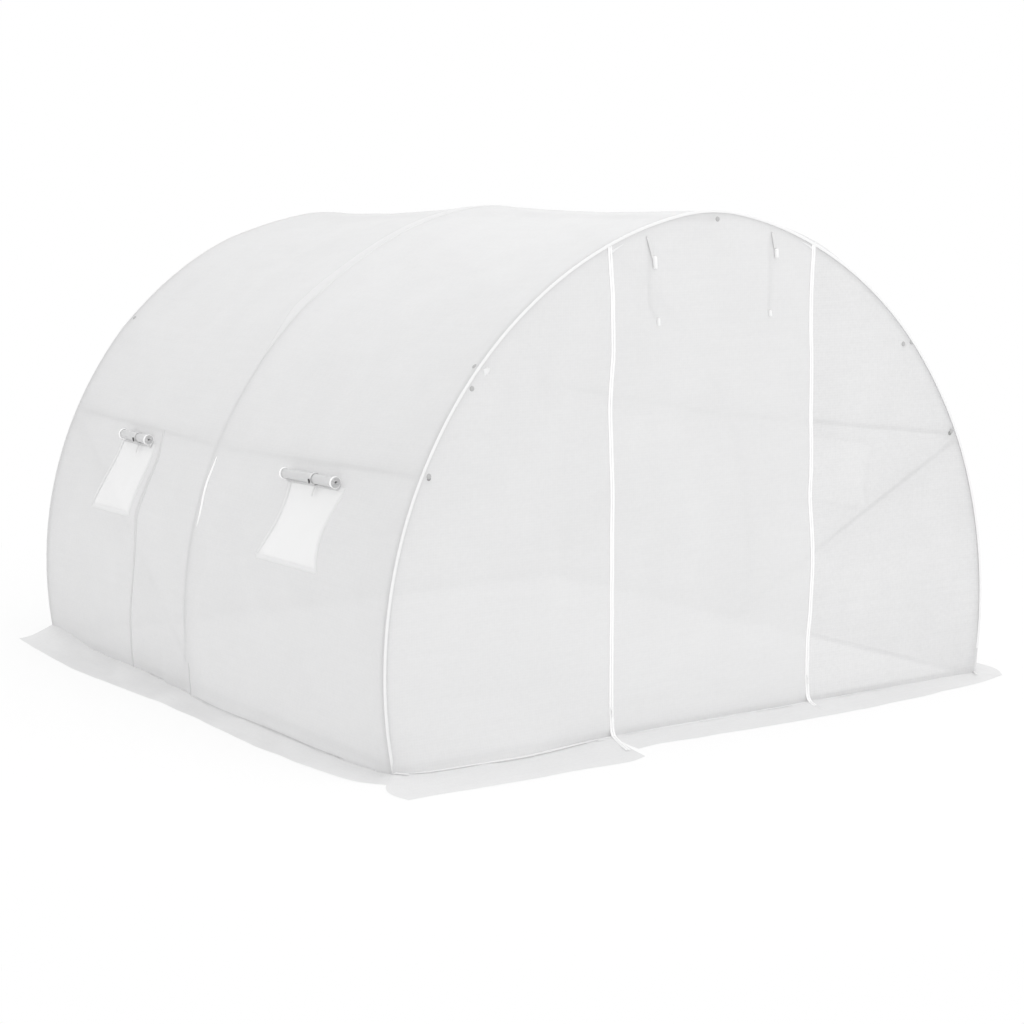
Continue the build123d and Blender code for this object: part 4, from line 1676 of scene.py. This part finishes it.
belt = {
    "at": 0.42,
    "over": 0.0030,
    "turn": 0.80 * math.pi,
    "wide": 0.008,
    "thick": 0.0009,
    "knot": -0.20 * math.pi,
    "knotOver": 0.0042,
    "barRun": [-0.009, -0.008, -0.006, 0.006, 0.008, 0.009],
    "barRadii": [0.0018, 0.0030, 0.0034, 0.0034, 0.0030, 0.0018],
    "tail": 0.050,
    "tailWide": 0.006,
    "tailThick": 0.0008,
}


def rollTie(frameOf):
    # a strap round the roll with a loose tail, and a toggle on it
    path, normal, tangent = frameOf
    middle = path[int(len(path) * belt["at"])]
    r = roll["radius"] + belt["over"]
    ring = aroundRoll(middle, np.linspace(-belt["turn"], belt["turn"], 40), r, normal, tangent)
    strap = swept(ring, lengthwise, roundSection(belt["wide"], belt["thick"], 10, 3.5))
    out = math.cos(belt["knot"]) * normal + math.sin(belt["knot"]) * tangent
    down = math.sin(belt["knot"]) * normal - math.cos(belt["knot"]) * tangent
    knot = middle + normal * roll["radius"] + out * (r + belt["knotOver"])
    bar = knot + down * np.array(belt["barRun"])[:, None]
    toggle = swept(bar, lengthwise, sectionsOf(belt["barRadii"], belt["barRadii"], 12))
    fall = steps(0, belt["tail"], 0.005)[:, None]
    tail = ring[0] + normal * (0.004 * np.sin(fall / belt["tail"] * math.pi)) - tangent * fall
    tail += np.array([0.0, 0.012, 0.0]) * fall / belt["tail"]
    loose = swept(tail, lengthwise, roundSection(belt["tailWide"], belt["tailThick"], 10, 3.5))
    return joined([strap, loose]), toggle


def rollHems(frameOf):
    # a folded edge round both ends of the roll, made bright by the tape finish's painted glow
    path, normal, tangent = frameOf
    turn = steps(0.98 * math.pi, -0.98 * math.pi, -0.12)
    r = roll["radius"] + roll["thick"] / 2 - roll["pitch"] * np.clip(-turn / math.tau, 0, 1) * 0.6
    rings = []
    for first, way in [(path[0], 1), (path[-1], -1)]:
        ring = aroundRoll(first, turn, r, normal, tangent)
        ring[:, 1] += way * (roll["hem"] / 2 - 0.0012)
        rings.append(swept(ring, lengthwise, roundSection(roll["hem"] / 2, 0.0011, 12, 3.5)))
    return rings


for side in sideNames:
    screens = [screenSheet(side, place) for place in window["places"]]
    straps, toggles, coils, hems = [], [], [], []
    for k in (0, 1):
        skin, length, frameOf = rollSkin(side, k)
        strap, toggle = rollTie(frameOf)
        straps.append(strap)
        toggles.append(toggle)
        coils.append(skin)
        hems += rollHems(frameOf)
    names = ["front", "back"]
    for name, skin in zip(names, screens):
        piece = meshPiece(f"screen_{side}_{name}", skin, "mesh", "screens")
        if name == "front":
            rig.replaces(piece, f"window_screens_{side}")
        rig.sheet(piece, flat=(window["width"] + 0.016, headLine - sillLine + 0.016), held="stretched",
                 rests_on=[f"cover_{name}"])
    fastened = [
        meshPiece(f"roll_ties_{side}", joined(straps), "strap", "straps"),
        meshPiece(f"roll_toggles_{side}", joined(toggles), "cap", "straps"),
        meshPiece(f"roll_hems_{side}", joined(hems), "tape", "rolled_film"),
    ]
    for name, skin, half in zip(names, coils, roll["half"]):
        piece = meshPiece(f"roll_{side}_{name}", skin, "rolled", "rolled_film")
        if name == "front":
            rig.replaces(piece, f"window_rolls_{side}")
        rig.sheet(piece, flat=(2 * half, length), held="gathered",
                 rests_on=[f"cover_{name}"], with_pieces=fastened if name == "front" else [])
print("windows made")


# the studio: a pale floor that turns plain white further out, an even sky and two wide lamps
studio = {
    "lens": 77.6,
    "place": (-5.5227, -8.1159, 2.0702),
    "turn": 34.66,
    "dip": 2.207,
    "shiftY": -0.2292,
    "floor": 0.97,
    "floorGlow": 0.70,  # share of plain white close to the tunnel
    "floorEdge": (1.9, 4.2),
    "world": 0.95,
    "overhead": 66.0,
    "front": 48.0,
}


def floorFinish():
    kit = Finish("studioFloor")
    place = kit.add("TexCoord", None, None, 3)
    away = kit.add("VectorMath", {"operation": "LENGTH"}, {0: place}, 1)
    near, far = studio["floorEdge"]
    share = ((away - near) / (far - near)).clamped() * (1.0 - studio["floorGlow"]) + studio["floorGlow"]
    matt = kit.add("BsdfDiffuse", None, {"Color": grey(studio["floor"])})
    return kit.close(kit.blend(share, matt, kit.add("Emission", None, {"Color": grey(1.0), "Strength": 1.0})))


def makeFloor():
    size = 60.0
    data = bpy.data.meshes.new("floor")
    corners = [(-size, -size, 0), (size, -size, 0), (size, size, 0), (-size, size, 0)]
    data.from_pydata(corners, [], [(0, 1, 2, 3)])
    data.materials.append(floorFinish())
    floor = bpy.data.objects.new("floor", data)
    scene.collection.objects.link(floor)
    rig.stage(floor)


def makeSky():
    # even light for the tunnel, and plain white where the sky itself is seen
    world = bpy.data.worlds.new("studio")
    scene.world = world
    world.use_nodes = True
    tree = world.node_tree
    tree.nodes.clear()
    result, mix = tree.nodes.new("ShaderNodeOutputWorld"), tree.nodes.new("ShaderNodeMixShader")
    rays = tree.nodes.new("ShaderNodeLightPath")
    seen = rays.outputs["Is Camera Ray"]
    for kind in ["Is Glossy Ray", "Is Transmission Ray"]:
        either = tree.nodes.new("ShaderNodeMath")
        either.operation = "MAXIMUM"
        tree.links.new(seen, either.inputs[0])
        tree.links.new(rays.outputs[kind], either.inputs[1])
        seen = either.outputs[0]
    tree.links.new(seen, mix.inputs[0])
    for slot, strength in [(1, studio["world"]), (2, 1.0)]:
        sky = tree.nodes.new("ShaderNodeBackground")
        sky.inputs["Color"].default_value = grey(1.0)
        sky.inputs["Strength"].default_value = strength
        tree.links.new(sky.outputs[0], mix.inputs[slot])
    tree.links.new(mix.outputs[0], result.inputs["Surface"])


def makeLamp(name, place, size, power):
    light = bpy.data.lights.new(name, "AREA")
    light.size = size
    light.energy = power
    lamp = bpy.data.objects.new(name, light)
    lamp.location = place
    lamp.rotation_euler = (Vector((0, 0, 0.8)) - Vector(place)).to_track_quat("-Z", "Y").to_euler()
    scene.collection.objects.link(lamp)


def makeCamera():
    data = bpy.data.cameras.new("camera")
    data.lens = studio["lens"]
    data.sensor_width = 36.0
    data.shift_y = studio["shiftY"]
    data.clip_end = 200.0
    camera = bpy.data.objects.new("camera", data)
    camera.location = studio["place"]
    camera.rotation_euler = (math.radians(90 - studio["dip"]), 0, -math.radians(studio["turn"]))
    scene.collection.objects.link(camera)
    scene.camera = camera


makeFloor()
makeSky()
makeLamp("overhead", (0.5, -1.5, 6.5), 5.0, studio["overhead"])
makeLamp("front", (1.5, -8.0, 4.0), 4.0, studio["front"])
makeCamera()
scene.view_settings.view_transform = "Standard"

sizes = {"cad": [list(v) for v in cadBox], "visual": [list(v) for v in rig.bounds()]}
with open("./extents.json", "w") as out:
    json.dump(sizes, out)
